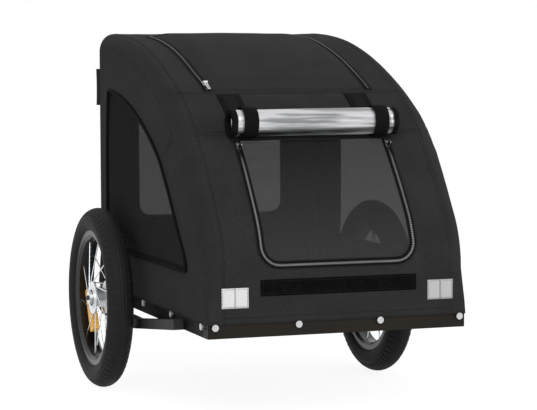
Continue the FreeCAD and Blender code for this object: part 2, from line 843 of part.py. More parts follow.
# Mesh windows in the sides and the rear
mesh_x = size("half_width") + size("cover_out") - size("mesh_thickness")
side_mesh = window_face(size("sewing_gap")).extrude(Vector(size("mesh_thickness"), 0, 0))
side_mesh.translate(Vector(mesh_x, 0, 0))
solid("right_window_mesh", side_mesh)
solid("left_window_mesh", side_mesh.mirror(Vector(), Vector(1, 0, 0)))
rear_mesh_y = size("rear_y") + size("cover_out") - size("mesh_thickness")
rear_layer = slab((-FAR, FAR), (rear_mesh_y, rear_mesh_y + size("mesh_thickness")), (0, FAR))
solid("rear_window_mesh", rear_window(size("sewing_gap")).common(rear_layer))


# Piping sewn round each window

def piping(wire):
    return pipe(Part.__sortEdges__(wire.Edges), size("piping_diameter") / 2)


proud = size("cover_out") + size("trim_clearance") + size("piping_diameter") / 2
side_wire = window_face(0).OuterWire
side_wire.translate(Vector(size("half_width") + proud, 0, 0))
side_piping = piping(side_wire)
rear_plane = rear_hole.common(slab((-FAR, FAR), (size("rear_y") + proud, FAR), (0, FAR)))
rear_face = min(rear_plane.Faces, key=lambda item: item.CenterOfMass.y)
solid("window_piping", Part.makeCompound([side_piping, side_piping.mirror(Vector(), Vector(1, 0, 0)),
                                          piping(rear_face.OuterWire)]))

# Mesh door in the front and cloth flap in the roof, each sewn along one edge and zipped round the rest
cover_out = size("cover_out")
door_panel = skin(cover_out - size("mesh_thickness"), cover_out).common(front_half)
solid("front_door_mesh", door_panel.common(door_outline(-size("zip_gap"), door_top - size("door_swing_gap"))))
flap_panel = skin(size("cover_clearance"), cover_out)
solid("roof_flap", flap_panel.common(flap_outline(-size("zip_gap"), flap_front + size("sewing_gap"))))

zip_floor = cover_out + size("trim_clearance")
zip_top = zip_floor + size("zip_height")
zip_layer = skin(zip_floor, zip_top)
door_ring = door_outline(size("zip_width"), door_top).cut(door_outline(0, door_top))
solid("door_zip", zip_layer.common(front_half).common(door_ring))
flap_ring = flap_outline(size("zip_width"), flap_front).cut(flap_outline(0, flap_front))
solid("roof_zip", zip_layer.common(flap_ring))


# Zip sliders and their pulls, drawn flat and then laid on the cover

def slider_shape():
    width = size("slider_width")
    length = size("slider_length")
    base = Part.makeBox(width, length, size("slider_base"), Vector(-width / 2, -length / 2, 0))
    eye_radius = size("pull_eye_diameter") / 2
    ear = size("slider_ear")
    inner = size("pull_width") / 2 + 3 * size("fit_clearance")
    pieces = []
    for x in (-inner - ear, inner):
        pieces.append(Part.makeCylinder(eye_radius, ear, Vector(x, 0, PULL_Z), Vector(1, 0, 0)))
        pieces.append(Part.makeBox(ear, 2 * eye_radius, PULL_Z, Vector(x, -eye_radius, 0)))
    pin_length = 2 * (inner + ear)
    pieces.append(Part.makeCylinder(size("pull_pin_diameter") / 2, pin_length,
                                    Vector(-pin_length / 2, 0, PULL_Z), Vector(1, 0, 0)))
    return base.fuse(pieces).removeSplitter()


def pull_shape():
    width = size("pull_width")
    thickness = size("pull_thickness")
    length = size("pull_length")
    hole_radius = size("pull_pin_diameter") / 2 + size("fit_clearance")
    start = Vector(-width / 2, 0, PULL_Z)
    eye = Part.makeCylinder(size("pull_eye_diameter") / 2, width, start, Vector(1, 0, 0))
    blade = Part.makeBox(width, length, thickness, Vector(-width / 2, -length, PULL_Z - thickness / 2))
    hole = Part.makeCylinder(hole_radius, width, start, Vector(1, 0, 0))
    rim = size("pull_rim")
    reach = size("pull_eye_diameter") / 2 + rim
    window = Part.makeBox(width - 2 * rim, length - rim - reach, thickness,
                          Vector(rim - width / 2, rim - length, PULL_Z - thickness / 2))
    return eye.fuse(blade).cut([hole, window]).removeSplitter()


PULL_Z = size("slider_base") + size("pull_eye_diameter") / 2 + 4 * size("fit_clearance")


def lay(shape, arc, lean, x):
    """A shape drawn on the XY plane, moved on to the zip at a lean, with its +Y up the slope."""
    seat = on_arc(arc, lean, zip_top + size("slider_clearance"), x)
    laid = shape.copy()
    laid.Placement = Placement(seat, Rotation(Vector(1, 0, 0), 90 - lean))
    return laid


door_slider = lean_at_height(door_top - size("door_slider_drop"))
roof_slider = lean_behind(flap_front - size("front_y") + size("roof_slider_setback"))
door_zip_x = (size("door_width") + size("zip_width")) / 2
roof_zip_x = (size("flap_width") + size("zip_width")) / 2
zip_sliders = (("left_door", door_slider, -door_zip_x), ("right_door", door_slider, door_zip_x),
               ("left_roof", roof_slider, -roof_zip_x))
for name, (arc, lean), zip_x in zip_sliders:
    solid(f"{name}_slider", lay(slider_shape(), arc, lean, zip_x))
    solid(f"{name}_pull", lay(pull_shape(), arc, lean, zip_x))

# Hook-and-loop strip and reflective patches on the front
strip_layer = skin(zip_floor, zip_floor + size("strip_thickness"))
strip_z = rail_z + size("strip_height")
strip_box = slab((-size("strip_length") / 2, size("strip_length") / 2), (-FAR, middle_y),
                 (strip_z - size("strip_width") / 2, strip_z + size("strip_width") / 2))
solid("hook_loop_strip", strip_layer.common(strip_box))
patch_z = rail_z + size("patch_height")
patches = []
for side in (-1, 1):
    centre = side * size("patch_offset")
    patch_box = slab((centre - size("patch_width") / 2, centre + size("patch_width") / 2), (-FAR, middle_y),
                     (patch_z - size("patch_tall") / 2, patch_z + size("patch_tall") / 2))
    patches.append(skin(zip_floor, zip_floor + size("strip_thickness") / 2).common(patch_box).Solids[0])
solid("reflective_patches", Part.makeCompound(patches))

# Clear rain window, rolled up over the door and held by two straps
roll_radius = size("roll_diameter") / 2
strap_radius = roll_radius + 2 * size("trim_clearance") + size("strap_thickness")
roll_centre = on_arc(seam_arc, seam_lean, zip_floor + strap_radius)
roll_start = roll_centre - Vector(size("roll_length") / 2, 0, 0)
roll = Part.makeCylinder(roll_radius, size("roll_length"), roll_start, Vector(1, 0, 0))
core = Part.makeCylinder(size("roll_core") / 2, size("roll_length"), roll_start, Vector(1, 0, 0))
solid("rain_window_roll", roll.cut(core))

strap_layer = skin(zip_floor, zip_floor + size("strap_thickness"))
straps = []
for side in (-1, 1):
    near = side * size("strap_offset") - size("strap_width") / 2
    start = Vector(near, roll_centre.y, roll_centre.z)
    inside = strap_radius - size("strap_thickness")
    loop = Part.makeCylinder(strap_radius, size("strap_width"), start, Vector(1, 0, 0))
    space = Part.makeCylinder(inside, size("strap_width"), start, Vector(1, 0, 0))
    tab = strap_layer.common(slab((near, near + size("strap_width")),
                                  (on_arc(seam_arc, seam_lean).y, flap_front - size("strap_width") / 2),
                                  (header_z, FAR)))
    straps.append(loop.fuse(tab).cut(space).removeSplitter().Solids[0])
solid("roll_straps", Part.makeCompound(straps))

# Flag-pole sleeve on the rear panel
sleeve_x = -size("half_width")
sleeve_y = size("rear_y") + zip_floor
sleeve_z = rail_z + size("sleeve_bottom")
sleeve_end_y = size("rear_y") + size("sleeve_reach")
sleeve = slab((sleeve_x, sleeve_x + size("sleeve_width")), (sleeve_y, sleeve_end_y),
              (sleeve_z, sleeve_z + size("sleeve_tall")))
bore_place = Vector(sleeve_x + size("sleeve_width") / 2, (sleeve_y + sleeve_end_y) / 2, sleeve_z)
solid("flag_sleeve", sleeve.cut(Part.makeCylinder(size("sleeve_bore") / 2, size("sleeve_tall"), bore_place)))


# Wheels: each has its own axle stub, pushed into the axle tube and locked by a button

def wheel_placed(item, side):
    """Puts a piece drawn for the right-hand wheel on its axle line, turned about for the left."""
    turn = Rotation(Vector(0, 0, 1), 180 if side < 0 else 0)
    return put(item, 0, "axle_y", "axle_z", turn)


TYRE_RADIUS = "wheel_diameter / 2 - tyre_width / 2"
RIM_BED = "rim_lip_diameter / 2 - rim_bed_depth"
RIM_INNER = "rim_lip_diameter / 2 - rim_depth"
BEAD_X = "rim_width / 2 - rim_lip - fit_clearance"
HUB_OUT = "wheel_x + hub_width / 2"
HUB_IN = "wheel_x - hub_width / 2"
CAP_IN = HUB_OUT + " + trim_clearance"
CAP_OUT = CAP_IN + " + axle_cap_length"
BUTTON_OUT = CAP_OUT + " + button_travel + button_proud"
BUTTON_IN = BUTTON_OUT + " - button_length"


def ring(name, section_radius, side):
    item = doc.addObject("Part::Torus", name)
    bind(item, Radius1=TYRE_RADIUS, Radius2=section_radius)
    return put(item, f"{side} * wheel_x", "axle_y", "axle_z", ALONG_X)


def disc(name, radius, length, start, side):
    """A cylinder along X that starts at an offset from the wheel's middle plane."""
    return cylinder(name, radius, length, f"{side} * wheel_x + {start}", "axle_y", "axle_z", ALONG_X)


def valve_hole(name, side):
    """The way for the valve, from the axle line up through the rim and the tyre's foot."""
    return cylinder(name + "_valve_hole", "valve_diameter / 2 + trim_clearance", "rim_lip_diameter / 2",
                    f"{side} * wheel_x", "axle_y", "axle_z")


def tyre(name, side):
    casing = cut(name + "_casing", ring(name + "_outside", "tyre_width / 2", side),
                 ring(name + "_inside", "tyre_width / 2 - tyre_wall", side))
    rim_space = fuse(name + "_rim_space", [
        disc(name + "_bed", RIM_BED + " + trim_clearance", "2 * tyre_width", "-tyre_width", side),
        disc(name + "_lip_a", "rim_lip_diameter / 2 + trim_clearance", "tyre_width", BEAD_X, side),
        disc(name + "_lip_b", "rim_lip_diameter / 2 + trim_clearance", "tyre_width",
             f"-tyre_width - ({BEAD_X})", side),
        valve_hole(name, side)])
    return cut(name, casing, rim_space)


def inner_tube(name, side):
    radius = "tyre_width / 2 - tyre_wall - tube_clearance"
    shell_of_tube = cut(name + "_shell", ring(name + "_outside", radius, side),
                        ring(name + "_inside", radius + " - tube_wall", side))
    top = f"axle_z + {TYRE_RADIUS} - ({radius}) + tube_wall / 2"
    stem = cylinder(name + "_stem", "valve_diameter / 2", "valve_length", f"{side} * wheel_x", "axle_y",
                    top + " - valve_length")
    return fuse(name, [shell_of_tube, stem])


def rim(name, side):
    lip = "rim_lip_diameter / 2"
    half = "rim_width / 2"
    bed_half = "rim_width / 2 - rim_lip"
    shoulder = f"{RIM_INNER} + rim_bed_depth"
    turned = revolved(name + "_ring", [
        (f"wheel_x - {half}", lip), (f"wheel_x - ({bed_half})", lip), (f"wheel_x - ({bed_half})", RIM_BED),
        (f"wheel_x + {bed_half}", RIM_BED), (f"wheel_x + {bed_half}", lip), (f"wheel_x + {half}", lip),
        (f"wheel_x + {half}", shoulder), (f"wheel_x + {half} - rim_bed_depth", RIM_INNER),
        (f"wheel_x - {half} + rim_bed_depth", RIM_INNER), (f"wheel_x - {half}", shoulder)])
    return cut(name, wheel_placed(turned, side), valve_hole(name, side))


def hub(name, side):
    barrel = "hub_barrel_diameter / 2"
    flange = "flange_diameter / 2"
    seat = "bearing_diameter / 2"
    outer = "wheel_x + flange_spacing / 2 + flange_thickness / 2"
    outer_in = "wheel_x + flange_spacing / 2 - flange_thickness / 2"
    inner = "wheel_x - flange_spacing / 2 - flange_thickness / 2"
    inner_in = "wheel_x - flange_spacing / 2 + flange_thickness / 2"
    outer_step = HUB_OUT + " - bearing_width"
    inner_step = HUB_IN + " + bearing_width"
    collar = "bearing_diameter / 2 + flange_thickness"
    return wheel_placed(revolved(name, [
        (HUB_IN, collar), (inner, collar), (inner, flange), (inner_in, flange), (inner_in, barrel),
        (outer_in, barrel), (outer_in, flange), (outer, flange), (outer, collar), (HUB_OUT, collar),
        (HUB_OUT, seat), (outer_step, seat), (outer_step, "hub_bore / 2"),
        (inner_step, "hub_bore / 2"), (inner_step, seat), (HUB_IN, seat)]), side)


def bearings(name, side):
    pair = []
    for letter, start in (("a", "-hub_width / 2"), ("b", "hub_width / 2 - bearing_width")):
        race = disc(f"{name}_{letter}_race", "bearing_diameter / 2 - fit_clearance", "bearing_width",
                    start, side)
        bore = disc(f"{name}_{letter}_bore", "axle_diameter / 2 + fit_clearance", "bearing_width",
                    start, side)
        pair.append(cut(f"{name}_{letter}", race, bore))
    return group(name, pair)


def axle(name, side):
    shaft = "axle_diameter / 2"
    pocket = "button_diameter / 2 + fit_clearance"
    pocket_end = BUTTON_IN + " - button_travel - trim_clearance"
    inner_end = "tube_end_x - axle_insertion"
    collar = "axle_collar_diameter / 2"
    cap = "axle_cap_diameter / 2"
    return wheel_placed(revolved(name, [
        (inner_end, "0"), (inner_end, shaft), ("tube_end_x + trim_clearance", shaft),
        ("tube_end_x + trim_clearance", collar), (HUB_IN + " - trim_clearance", collar),
        (HUB_IN + " - trim_clearance", shaft), (CAP_IN, shaft), (CAP_IN, cap), (CAP_OUT, cap),
        (CAP_OUT, pocket), (pocket_end, pocket), (pocket_end, "0")]), side)


def button(name, side):
    turned = revolved(name, [(BUTTON_IN, "0"), (BUTTON_IN, "button_diameter / 2"),
                             (BUTTON_OUT, "button_diameter / 2"), (BUTTON_OUT, "0")])
    return wheel_placed(turned, side)


def on_wheel(radius, angle, out):
    """A point of the right-hand wheel, by its radius, angle and distance outside the middle plane."""
    turn = math.radians(angle)
    return Vector(size("wheel_x") + out, size("axle_y") + radius * math.cos(turn),
                  size("axle_z") + radius * math.sin(turn))


def for_side(shape, side):
    """A shape of the right-hand wheel, turned about the middle of the axle line for the left."""
    if side > 0:
        return shape
    turned = shape.copy()
    turned.rotate(Vector(0, size("axle_y"), 0), Vector(0, 0, 1), 180)
    return turned


SPOKE_START = size("flange_diameter") / 2 + size("spoke_diameter") / 2 + size("trim_clearance")
SPOKE_END = (size("rim_lip_diameter") / 2 - size("rim_depth") - size("spoke_diameter") / 4
             - size("trim_clearance"))


def spoke_out(radius):
    """How far a spoke's middle line lies from the wheel's middle plane at a radius."""
    share = (radius - SPOKE_START) / (SPOKE_END - SPOKE_START)
    return size("flange_spacing") / 2 * (1 - share) + size("spoke_spread") * share


def spokes(side):
    """Leaning spokes from each flange's edge to the rim, the two flanges leaning opposite ways."""
    wires = []
    for flange in (-1, 1):
        for step in range(SPOKES_PER_FLANGE):
            angle = 360 * (step + flange / 4) / SPOKES_PER_FLANGE
            lean = flange * size("spoke_lean")
            start = on_wheel(SPOKE_START, angle + lean, flange * spoke_out(SPOKE_START))
            end = on_wheel(SPOKE_END, angle, flange * spoke_out(SPOKE_END))
            along = end - start
            wires.append(Part.makeCylinder(size("spoke_diameter") / 2, along.Length, start, along))
    return for_side(Part.makeCompound(wires), side)


def reflector(side):
    """An amber reflector clipped between the two rows of spokes, across a radius of the wheel."""
    width = size("reflector_width")
    length = size("reflector_length")
    inner = size("flange_diameter") / 2 + size("reflector_gap")
    corner = math.hypot(inner + width, length / 2)
    thickness = 2 * (spoke_out(corner) - size("spoke_diameter") / 2 - size("reflector_clip"))
    plate = Part.makeBox(thickness, width, length,
                         Vector(size("wheel_x") - thickness / 2, inner, -length / 2))
    across = [edge for edge in plate.Edges if edge.BoundBox.XLength > thickness / 2]
    rounded = plate.makeFillet(width / 4, across)
    rounded.rotate(Vector(), Vector(1, 0, 0), size("reflector_angle"))
    rounded.translate(Vector(0, size("axle_y"), size("axle_z")))
    return for_side(rounded, side)


for name, side in (("left", -1), ("right", 1)):
    keep(tyre(name + "_tyre", side), name + "_tyre")
    keep(inner_tube(name + "_inner_tube", side), name + "_inner_tube")
    keep(rim(name + "_rim", side), name + "_rim")
    keep(hub(name + "_hub", side), name + "_hub")
    keep(bearings(name + "_bearings", side), name + "_bearings")
    keep(axle(name + "_axle", side), name + "_axle")
    keep(button(name + "_release_button", side), name + "_release_button")
    solid(name + "_spokes", spokes(side))
    solid(name + "_reflector", reflector(side))

doc.recompute()
for item in doc.Objects:
    if "Invalid" in item.State or "Error" in item.State:
        raise RuntimeError(f"{item.Label} did not compute")
for item in PARTS:
    if item.Shape.isNull() or not item.Shape.isValid() or not item.Shape.Solids:
        raise RuntimeError(f"{item.Label} has no valid solid")

os.makedirs("parts", exist_ok=True)
for item in PARTS:
    item.Shape.exportStep(f"parts/{item.Label}.step")

# Joint places, for reading
for name, (arc, lean) in (("door slider", door_slider), ("roof slider", roof_slider)):
    centre = behind(arc[0], arc[1])
    print(name, "turns about y", round(centre.y, 3), "z", round(centre.z, 3), "at lean", round(lean, 2),
          "of", arc[3:])
    seat = on_arc(arc, lean, zip_top + size("slider_clearance") + PULL_Z)
    print(name, "pull pin at y", round(seat.y, 3), "z", round(seat.z, 3))
hinge_arc, hinge_lean = lean_at_height(door_top)
print("door hinge", on_arc(hinge_arc, hinge_lean, cover_out), "lean", round(hinge_lean, 2))
print("flap hinge", on_arc(flap_arc, flap_lean, cover_out))
print("roof top", round(ROOF_TOP, 2), "sub-parts", len(PARTS))
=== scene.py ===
import math
import random
from functools import partial
import bpy
import numpy as np
from mathutils import Matrix, Vector

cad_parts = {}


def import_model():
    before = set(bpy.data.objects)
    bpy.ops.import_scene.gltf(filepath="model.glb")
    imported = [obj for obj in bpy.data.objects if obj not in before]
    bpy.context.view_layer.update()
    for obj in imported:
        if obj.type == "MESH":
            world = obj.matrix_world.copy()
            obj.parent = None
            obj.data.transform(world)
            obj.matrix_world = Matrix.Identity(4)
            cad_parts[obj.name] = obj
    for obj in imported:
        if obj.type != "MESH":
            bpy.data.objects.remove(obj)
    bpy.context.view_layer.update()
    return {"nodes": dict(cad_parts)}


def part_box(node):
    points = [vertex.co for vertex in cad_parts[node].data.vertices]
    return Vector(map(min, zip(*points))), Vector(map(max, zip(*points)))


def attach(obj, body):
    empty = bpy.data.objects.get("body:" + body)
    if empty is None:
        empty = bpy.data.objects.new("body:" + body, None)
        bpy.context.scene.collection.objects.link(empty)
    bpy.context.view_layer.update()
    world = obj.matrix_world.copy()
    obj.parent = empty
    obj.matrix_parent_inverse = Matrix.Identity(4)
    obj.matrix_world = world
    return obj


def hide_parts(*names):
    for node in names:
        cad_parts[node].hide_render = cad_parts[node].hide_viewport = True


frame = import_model()
random.seed(7)

# Sizes of the cabin in millimetres, as the CAD model has them
MM = 0.001
FRONT_Y = -317.4
REAR_Y = 302.6
HALF_WIDTH = 206.5
HEM_Z = 157.2
RAIL_TOP = 162.0
FRONT_TOP = 227.0
COVER_OUT = 2.0
EDGE_RADIUS = 24.0
HEM_RADIUS = 2.2
REAR_CORNER = 31.0
LEANS = [0, 35, 47, 59]
RADII = [150.0, 850.0, 240.0]
SEAM_X = 183.5
CUT_X = SEAM_X + 1.0
FLAT_X = HALF_WIDTH + COVER_OUT - EDGE_RADIUS
EDGE_LENGTH = EDGE_RADIUS * math.pi / 2
EDGE_T = FLAT_X + EDGE_LENGTH
WALL_X = HALF_WIDTH + COVER_OUT
HEADER_Z = 432.0
REAR_SEAM_Y = REAR_Y - 12.0
FLAP_HALF = 132.0
FLAP_FRONT = -101.5
FLAP_REAR = 234.6
FLAP_CORNER = 20.0
WINDOW_MARGIN = 92.0
WINDOW_LOW = 229.0
WINDOW_REAR = REAR_Y - 82.0
WINDOW_CORNER = 16.0
ZIP_WIDTH = 9.0
TAPE_REACH = 6.0
CLOTH_THICKNESS = 1.3

# Half width, lower edge, upper edge and corner radius
DOOR = (118.0, 247.0, 421.0, 24.0)
REAR_WINDOW = (138.0, 267.0, 509.0, 25.0)

# How finely the profile and the outlines are drawn
FRONT_STEPS = 60
ARC_STEPS = 160
REAR_STEPS = 200
CORNER_POINTS = 10
WINDOW_STEP = 2.0
ZIP_STEP = 3.0
PANEL_STEP = 5.0


# Side profile of the cabin by its length from the front hem, over the roof, to the rear hem

def profile_arcs():
    """Arcs of the front, roof and rear corner: centre along and up, radius, and the lean at both ends."""
    arcs = []
    along, height, last = RADII[0], FRONT_TOP, RADII[0]
    for radius, start, end in zip(RADII + [None], LEANS, LEANS[1:] + [90]):
        lean = math.radians(start)
        if radius is None:
            radius = (REAR_Y - FRONT_Y - REAR_CORNER - along) / math.cos(lean) + last
        along -= (last - radius) * math.cos(lean)
        height += (last - radius) * math.sin(lean)
        arcs.append((along, height, radius, start, end))
        last = radius
    return arcs + [(along, height + last - REAR_CORNER, REAR_CORNER, 90, 180)]


def profile_table():
    """Rows of (y, z, lean in degrees) along the whole profile."""
    rows = [(FRONT_Y, z, 0.0) for z in np.linspace(HEM_Z, FRONT_TOP, FRONT_STEPS)]
    for along, height, radius, start, end in profile_arcs():
        for lean in np.linspace(start, end, ARC_STEPS)[1:]:
            angle = math.radians(lean)
            rows.append((FRONT_Y + along - radius * math.cos(angle), height + radius * math.sin(angle), lean))
    rows += [(REAR_Y, z, 180.0) for z in np.linspace(rows[-1][1], HEM_Z, REAR_STEPS)[1:]]
    return np.array(rows)


def run_along(points):
    """How far along a line each of its points lies."""
    steps = np.linalg.norm(np.diff(points, axis=0), axis=1)
    return np.concatenate([[0.0], np.cumsum(steps)])


PROFILE = profile_table()
PROFILE_S = run_along(PROFILE[:, :2])
S_END = PROFILE_S[-1]
ROOF_CREST = int(np.argmax(PROFILE[:, 1]))


def s_at_height(z):
    return np.interp(z, PROFILE[:ROOF_CREST, 1], PROFILE_S[:ROOF_CREST])


def s_behind(y):
    return np.interp(y, PROFILE[FRONT_STEPS:-REAR_STEPS, 0], PROFILE_S[FRONT_STEPS:-REAR_STEPS])


S_HEADER = float(s_at_height(HEADER_Z))
S_FLAP_FRONT, S_FLAP_REAR, S_REAR_SEAM = (float(s_behind(y)) for y in (FLAP_FRONT, FLAP_REAR, REAR_SEAM_Y))


def bag(s, t):
    """Points and outward normals of the cover at lengths s up the profile and t across it from the middle."""
    y, z, lean = (np.interp(s, PROFILE_S, column) for column in PROFILE.T)
    lean = np.radians(lean)
    rise = np.clip((z - RAIL_TOP) / (FRONT_TOP - RAIL_TOP), 0, 1)
    radius = HEM_RADIUS + (EDGE_RADIUS - HEM_RADIUS) * rise
    beyond = np.clip((np.abs(t) - FLAT_X) / EDGE_LENGTH, 0, 1)
    flat = EDGE_RADIUS - radius
    path = beyond * (flat + radius * math.pi / 2)
    turn = np.clip(path - flat, 0, None) / radius
    x = np.where(np.abs(t) <= FLAT_X, np.abs(t), FLAT_X + np.minimum(path, flat) + radius * np.sin(turn))
    offset = COVER_OUT - radius * (1 - np.cos(turn))
    side = np.sign(t)
    out = np.stack([side * np.sin(turn), -np.cos(lean) * np.cos(turn), np.sin(lean) * np.cos(turn)], -1)
    return np.stack([side * x, y - np.cos(lean) * offset, z + np.sin(lean) * offset], -1), out


# Outlines of the openings, as closed or open lines of points

def spaced(points, step):
    """The points of an open line, with more between them so that none is further than a step apart."""
    found = []
    for a, b in zip(points[:-1], points[1:]):
        count = max(1, int(math.ceil(np.linalg.norm(b - a) / step)))
        found += [a + (b - a) * k / count for k in range(count)]
    return np.array(found + [points[-1]])


def closed(line):
    return np.vstack([line, line[:1]])


def spaced_ring(line, step):
    return spaced(closed(line), step)[:-1]


def middle_of(points):
    return (points.min(axis=0) + points.max(axis=0)) / 2


def rounded_box(half, low, high, low_radius, high_radius, grow):
    """An upright rectangle about x = 0, from its top left corner round by the bottom to its top right one."""
    half, low, high = half + grow, low - grow, high + grow
    line = []
    for x, z, radius, start in ((-half, high, high_radius, 90), (-half, low, low_radius, 180),
                                (half, low, low_radius, 270), (half, high, high_radius, 0)):
        radius = max(radius + grow, 0.0) if radius else 0.0
        centre_x = x - math.copysign(radius, x)
        centre_z = z - radius if z == high else z + radius
        for angle in np.radians(np.linspace(start, start + 90, CORNER_POINTS if radius else 1)):
            line.append((centre_x + radius * math.cos(angle), centre_z + radius * math.sin(angle)))
    return np.array(line)


def zip_line(half, low, high, corner, s_at, grow, end_grow):
    """Two sides and the rounded far end of an opening in (t, s), as an open line."""
    line = rounded_box(half, low, high, corner, 0.0, grow)
    line[0, 1] = line[-1, 1] = high + end_grow
    line = spaced(line, ZIP_STEP)
    return np.column_stack([line[:, 0], s_at(line[:, 1])])


def door_line(grow, end_grow=0.0):
    """The door's sides and bottom, from its top left to its top right."""
    return zip_line(*DOOR, s_at_height, grow, end_grow)


def flap_line(grow, end_grow=0.0):
    """The roof flap's sides and rear, from its front left to its front right."""
    return zip_line(FLAP_HALF, -FLAP_REAR, -FLAP_FRONT, FLAP_CORNER, lambda y: s_behind(-y), grow, end_grow)


def rear_line(grow):
    """The rear window in (t, s)."""
    line = spaced_ring(rounded_box(*REAR_WINDOW, REAR_WINDOW[-1], grow), 4.0)
    return np.column_stack([line[:, 0], np.interp(-line[:, 1], -PROFILE[ROOF_CREST:, 1], PROFILE_S[ROOF_CREST:])])


def side_line(grow):
    """The side window in (y, z): the profile drawn in by a margin, cut level and upright, its corners eased."""
    margin = WINDOW_MARGIN - grow
    low = WINDOW_LOW - grow
    rear = WINDOW_REAR + grow
    y, z, lean = PROFILE[(PROFILE[:, 2] <= 90) & (PROFILE[:, 1] > RAIL_TOP)].T
    lean = np.radians(lean)
    curve = np.column_stack([y + np.cos(lean) * margin, z - np.sin(lean) * margin])
    curve = curve[(curve[:, 1] > low) & (curve[:, 0] < rear)]
    top = np.interp(rear, curve[:, 0], curve[:, 1])
    start = np.interp(low, curve[:, 1], curve[:, 0])
    line = spaced_ring(np.vstack([[[start, low]], curve, [[rear, top]], [[rear, low]]]), WINDOW_STEP)
    reach = int(WINDOW_CORNER / WINDOW_STEP)
    total = np.zeros_like(line)
    for shift in range(-reach, reach + 1):
        total += np.roll(line, shift, axis=0) * (reach + 1 - abs(shift))
    return total / (reach + 1) ** 2


def rectangle(middle, half, low, high, step):
    """A rectangle of parameters, from its low left corner round to that corner again."""
    left, right = middle - half, middle + half
    corners = [(left, low), (right, low), (right, high), (left, high), (left, low)]
    return spaced(np.array(corners, float), step)


def bearings(points, centre):
    return np.arctan2(points[:, 1] - centre[1], points[:, 0] - centre[0])


def ways(angles):
    return np.column_stack([np.cos(angles), np.sin(angles)])


def cross_product(a, b):
    return a[..., 0] * b[..., 1] - a[..., 1] * b[..., 0]


def ray_hits(line, centre, angles):
    """How far each ray from a centre runs to a closed line round it."""
    a = line[None] - centre
    along = (np.roll(line, -1, axis=0) - line)[None]
    ray = ways(angles)[:, None]
    cross = cross_product(ray, along)
    cross = np.where(np.abs(cross) < 1e-9, 1e-9, cross)
    reach = cross_product(a, along) / cross
    share = cross_product(a, ray) / cross
    good = (share >= -1e-6) & (share <= 1 + 1e-6) & (reach > 0)
    return np.where(good, reach, np.inf).min(axis=1)


def ring_between(outer, inner, steps):
    """Rows of points from a closed outer line in to a closed inner one, matched by their directions."""
    centre = middle_of(inner)
    angles = np.sort(np.concatenate([bearings(line, centre) for line in (outer, inner)]))
    angles = angles[np.concatenate([[True], np.diff(angles) > 1e-4])]
    far = ray_hits(outer, centre, angles)
    near = ray_hits(inner, centre, angles)
    return np.array([centre + ways(angles) * (far + (near - far) * k / steps)[:, None] for k in range(steps + 1)])


def at_runs(line, where):
    run = run_along(line)
    return np.column_stack([np.interp(where, run, column) for column in line.T])


def evenly(line, pitch):
    """Points a pitch apart along an open line, the first half a pitch from its start."""
    return at_runs(line, np.arange(pitch / 2, run_along(line)[-1], pitch))


def resampled(line, count):
    """A closed line as a set number of even points."""
    ring = closed(line)
    return at_runs(ring, np.linspace(0, run_along(ring)[-1], count, endpoint=False))


def matched(line_a, line_b, count):
    """Two closed lines as even points of one and, on the other, the points in the same directions."""
    a = resampled(line_a, count)
    centre = middle_of(a)
    angles = bearings(a, centre)
    return a, centre + ways(angles) * ray_hits(line_b, centre, angles)[:, None]


def circle(count):
    return np.linspace(0, 2 * math.pi, count, endpoint=False)


def grid(rows, columns):
    """Pairs of every column's value with every row's, row by row."""
    return np.column_stack([np.tile(columns, len(rows)), np.repeat(rows, len(columns))])


def turned(x, centre, radius, angle):
    """Points at given radii and angles about an axis along x."""
    return np.column_stack([x, centre[1] + radius * np.cos(angle), centre[2] + radius * np.sin(angle)])


def unit(vectors):
    return vectors / np.linalg.norm(vectors, axis=1)[:, None]


# Making objects

def placed(name, data):
    """A new object in the scene."""
    item = bpy.data.objects.new(name, data)
    bpy.context.scene.collection.objects.link(item)
    return item


def box_mm(node):
    """The low and the high corner of a node's box."""
    return (np.array(corner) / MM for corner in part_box(node))


def mesh_object(name, points, faces, material, body, node=None, uv=None, smooth=True):
    """A mesh from points in millimetres that rides on a body and, if a node is named, stands for it."""
    mesh = bpy.data.meshes.new(name)
    mesh.from_pydata((np.asarray(points, float) * MM).tolist(), [], faces)
    mesh.update()
    if uv is not None:
        layer = mesh.uv_layers.new(name="weave")
        corner = np.zeros(len(mesh.loops), np.int32)
        mesh.loops.foreach_get("vertex_index", corner)
        layer.data.foreach_set("uv", (np.asarray(uv, float)[corner] * MM).astype(np.float32).ravel())
    mesh.polygons.foreach_set("use_smooth", np.full(len(mesh.polygons), smooth))
    item = placed(name, mesh)
    mesh.materials.append(material)
    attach(item, body)
    if node:
        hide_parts(node)
    return item


def thicken(item, thickness=CLOTH_THICKNESS, offset=-1.0):
    change = item.modifiers.new("thickness", "SOLIDIFY")
    change.thickness = thickness * MM
    change.offset = offset
    change.use_even_offset = False
    return item


def grid_faces(rows, columns, wrap=False, close=False):
    """Faces of a grid of points, joined round its columns by wrap and round its rows by close."""
    faces = []
    for r in range(rows if close else rows - 1):
        here, there = r * columns, (r + 1) % rows * columns
        for c in range(columns if wrap else columns - 1):
            d = (c + 1) % columns
            faces.append((here + c, here + d, there + d, there + c))
    return faces


def flipped(faces):
    return [tuple(reversed(face)) for face in faces]


def facing(points, faces, out):
    """Faces turned so that they look the way that their surface does."""
    a, b, c, d = faces[len(faces) // 3]
    normal = np.cross(points[c] - points[a], points[d] - points[b])
    return faces if normal @ out[a] > 0 else flipped(faces)


class Heap:
    """Points and faces of many small solids, kept together as one mesh."""

    def __init__(self):
        self.points, self.faces, self.uv = [], [], []

    def add(self, points, faces, uv=None):
        base = sum(len(p) for p in self.points)
        self.points.append(points)
        self.faces += [tuple(base + i for i in face) for face in faces]
        self.uv.append(np.zeros((len(points), 2)) if uv is None else uv)

    def object(self, name, material, body, node=None, smooth=False):
        return mesh_object(name, np.vstack(self.points), self.faces, material, body, node,
                           np.vstack(self.uv), smooth)


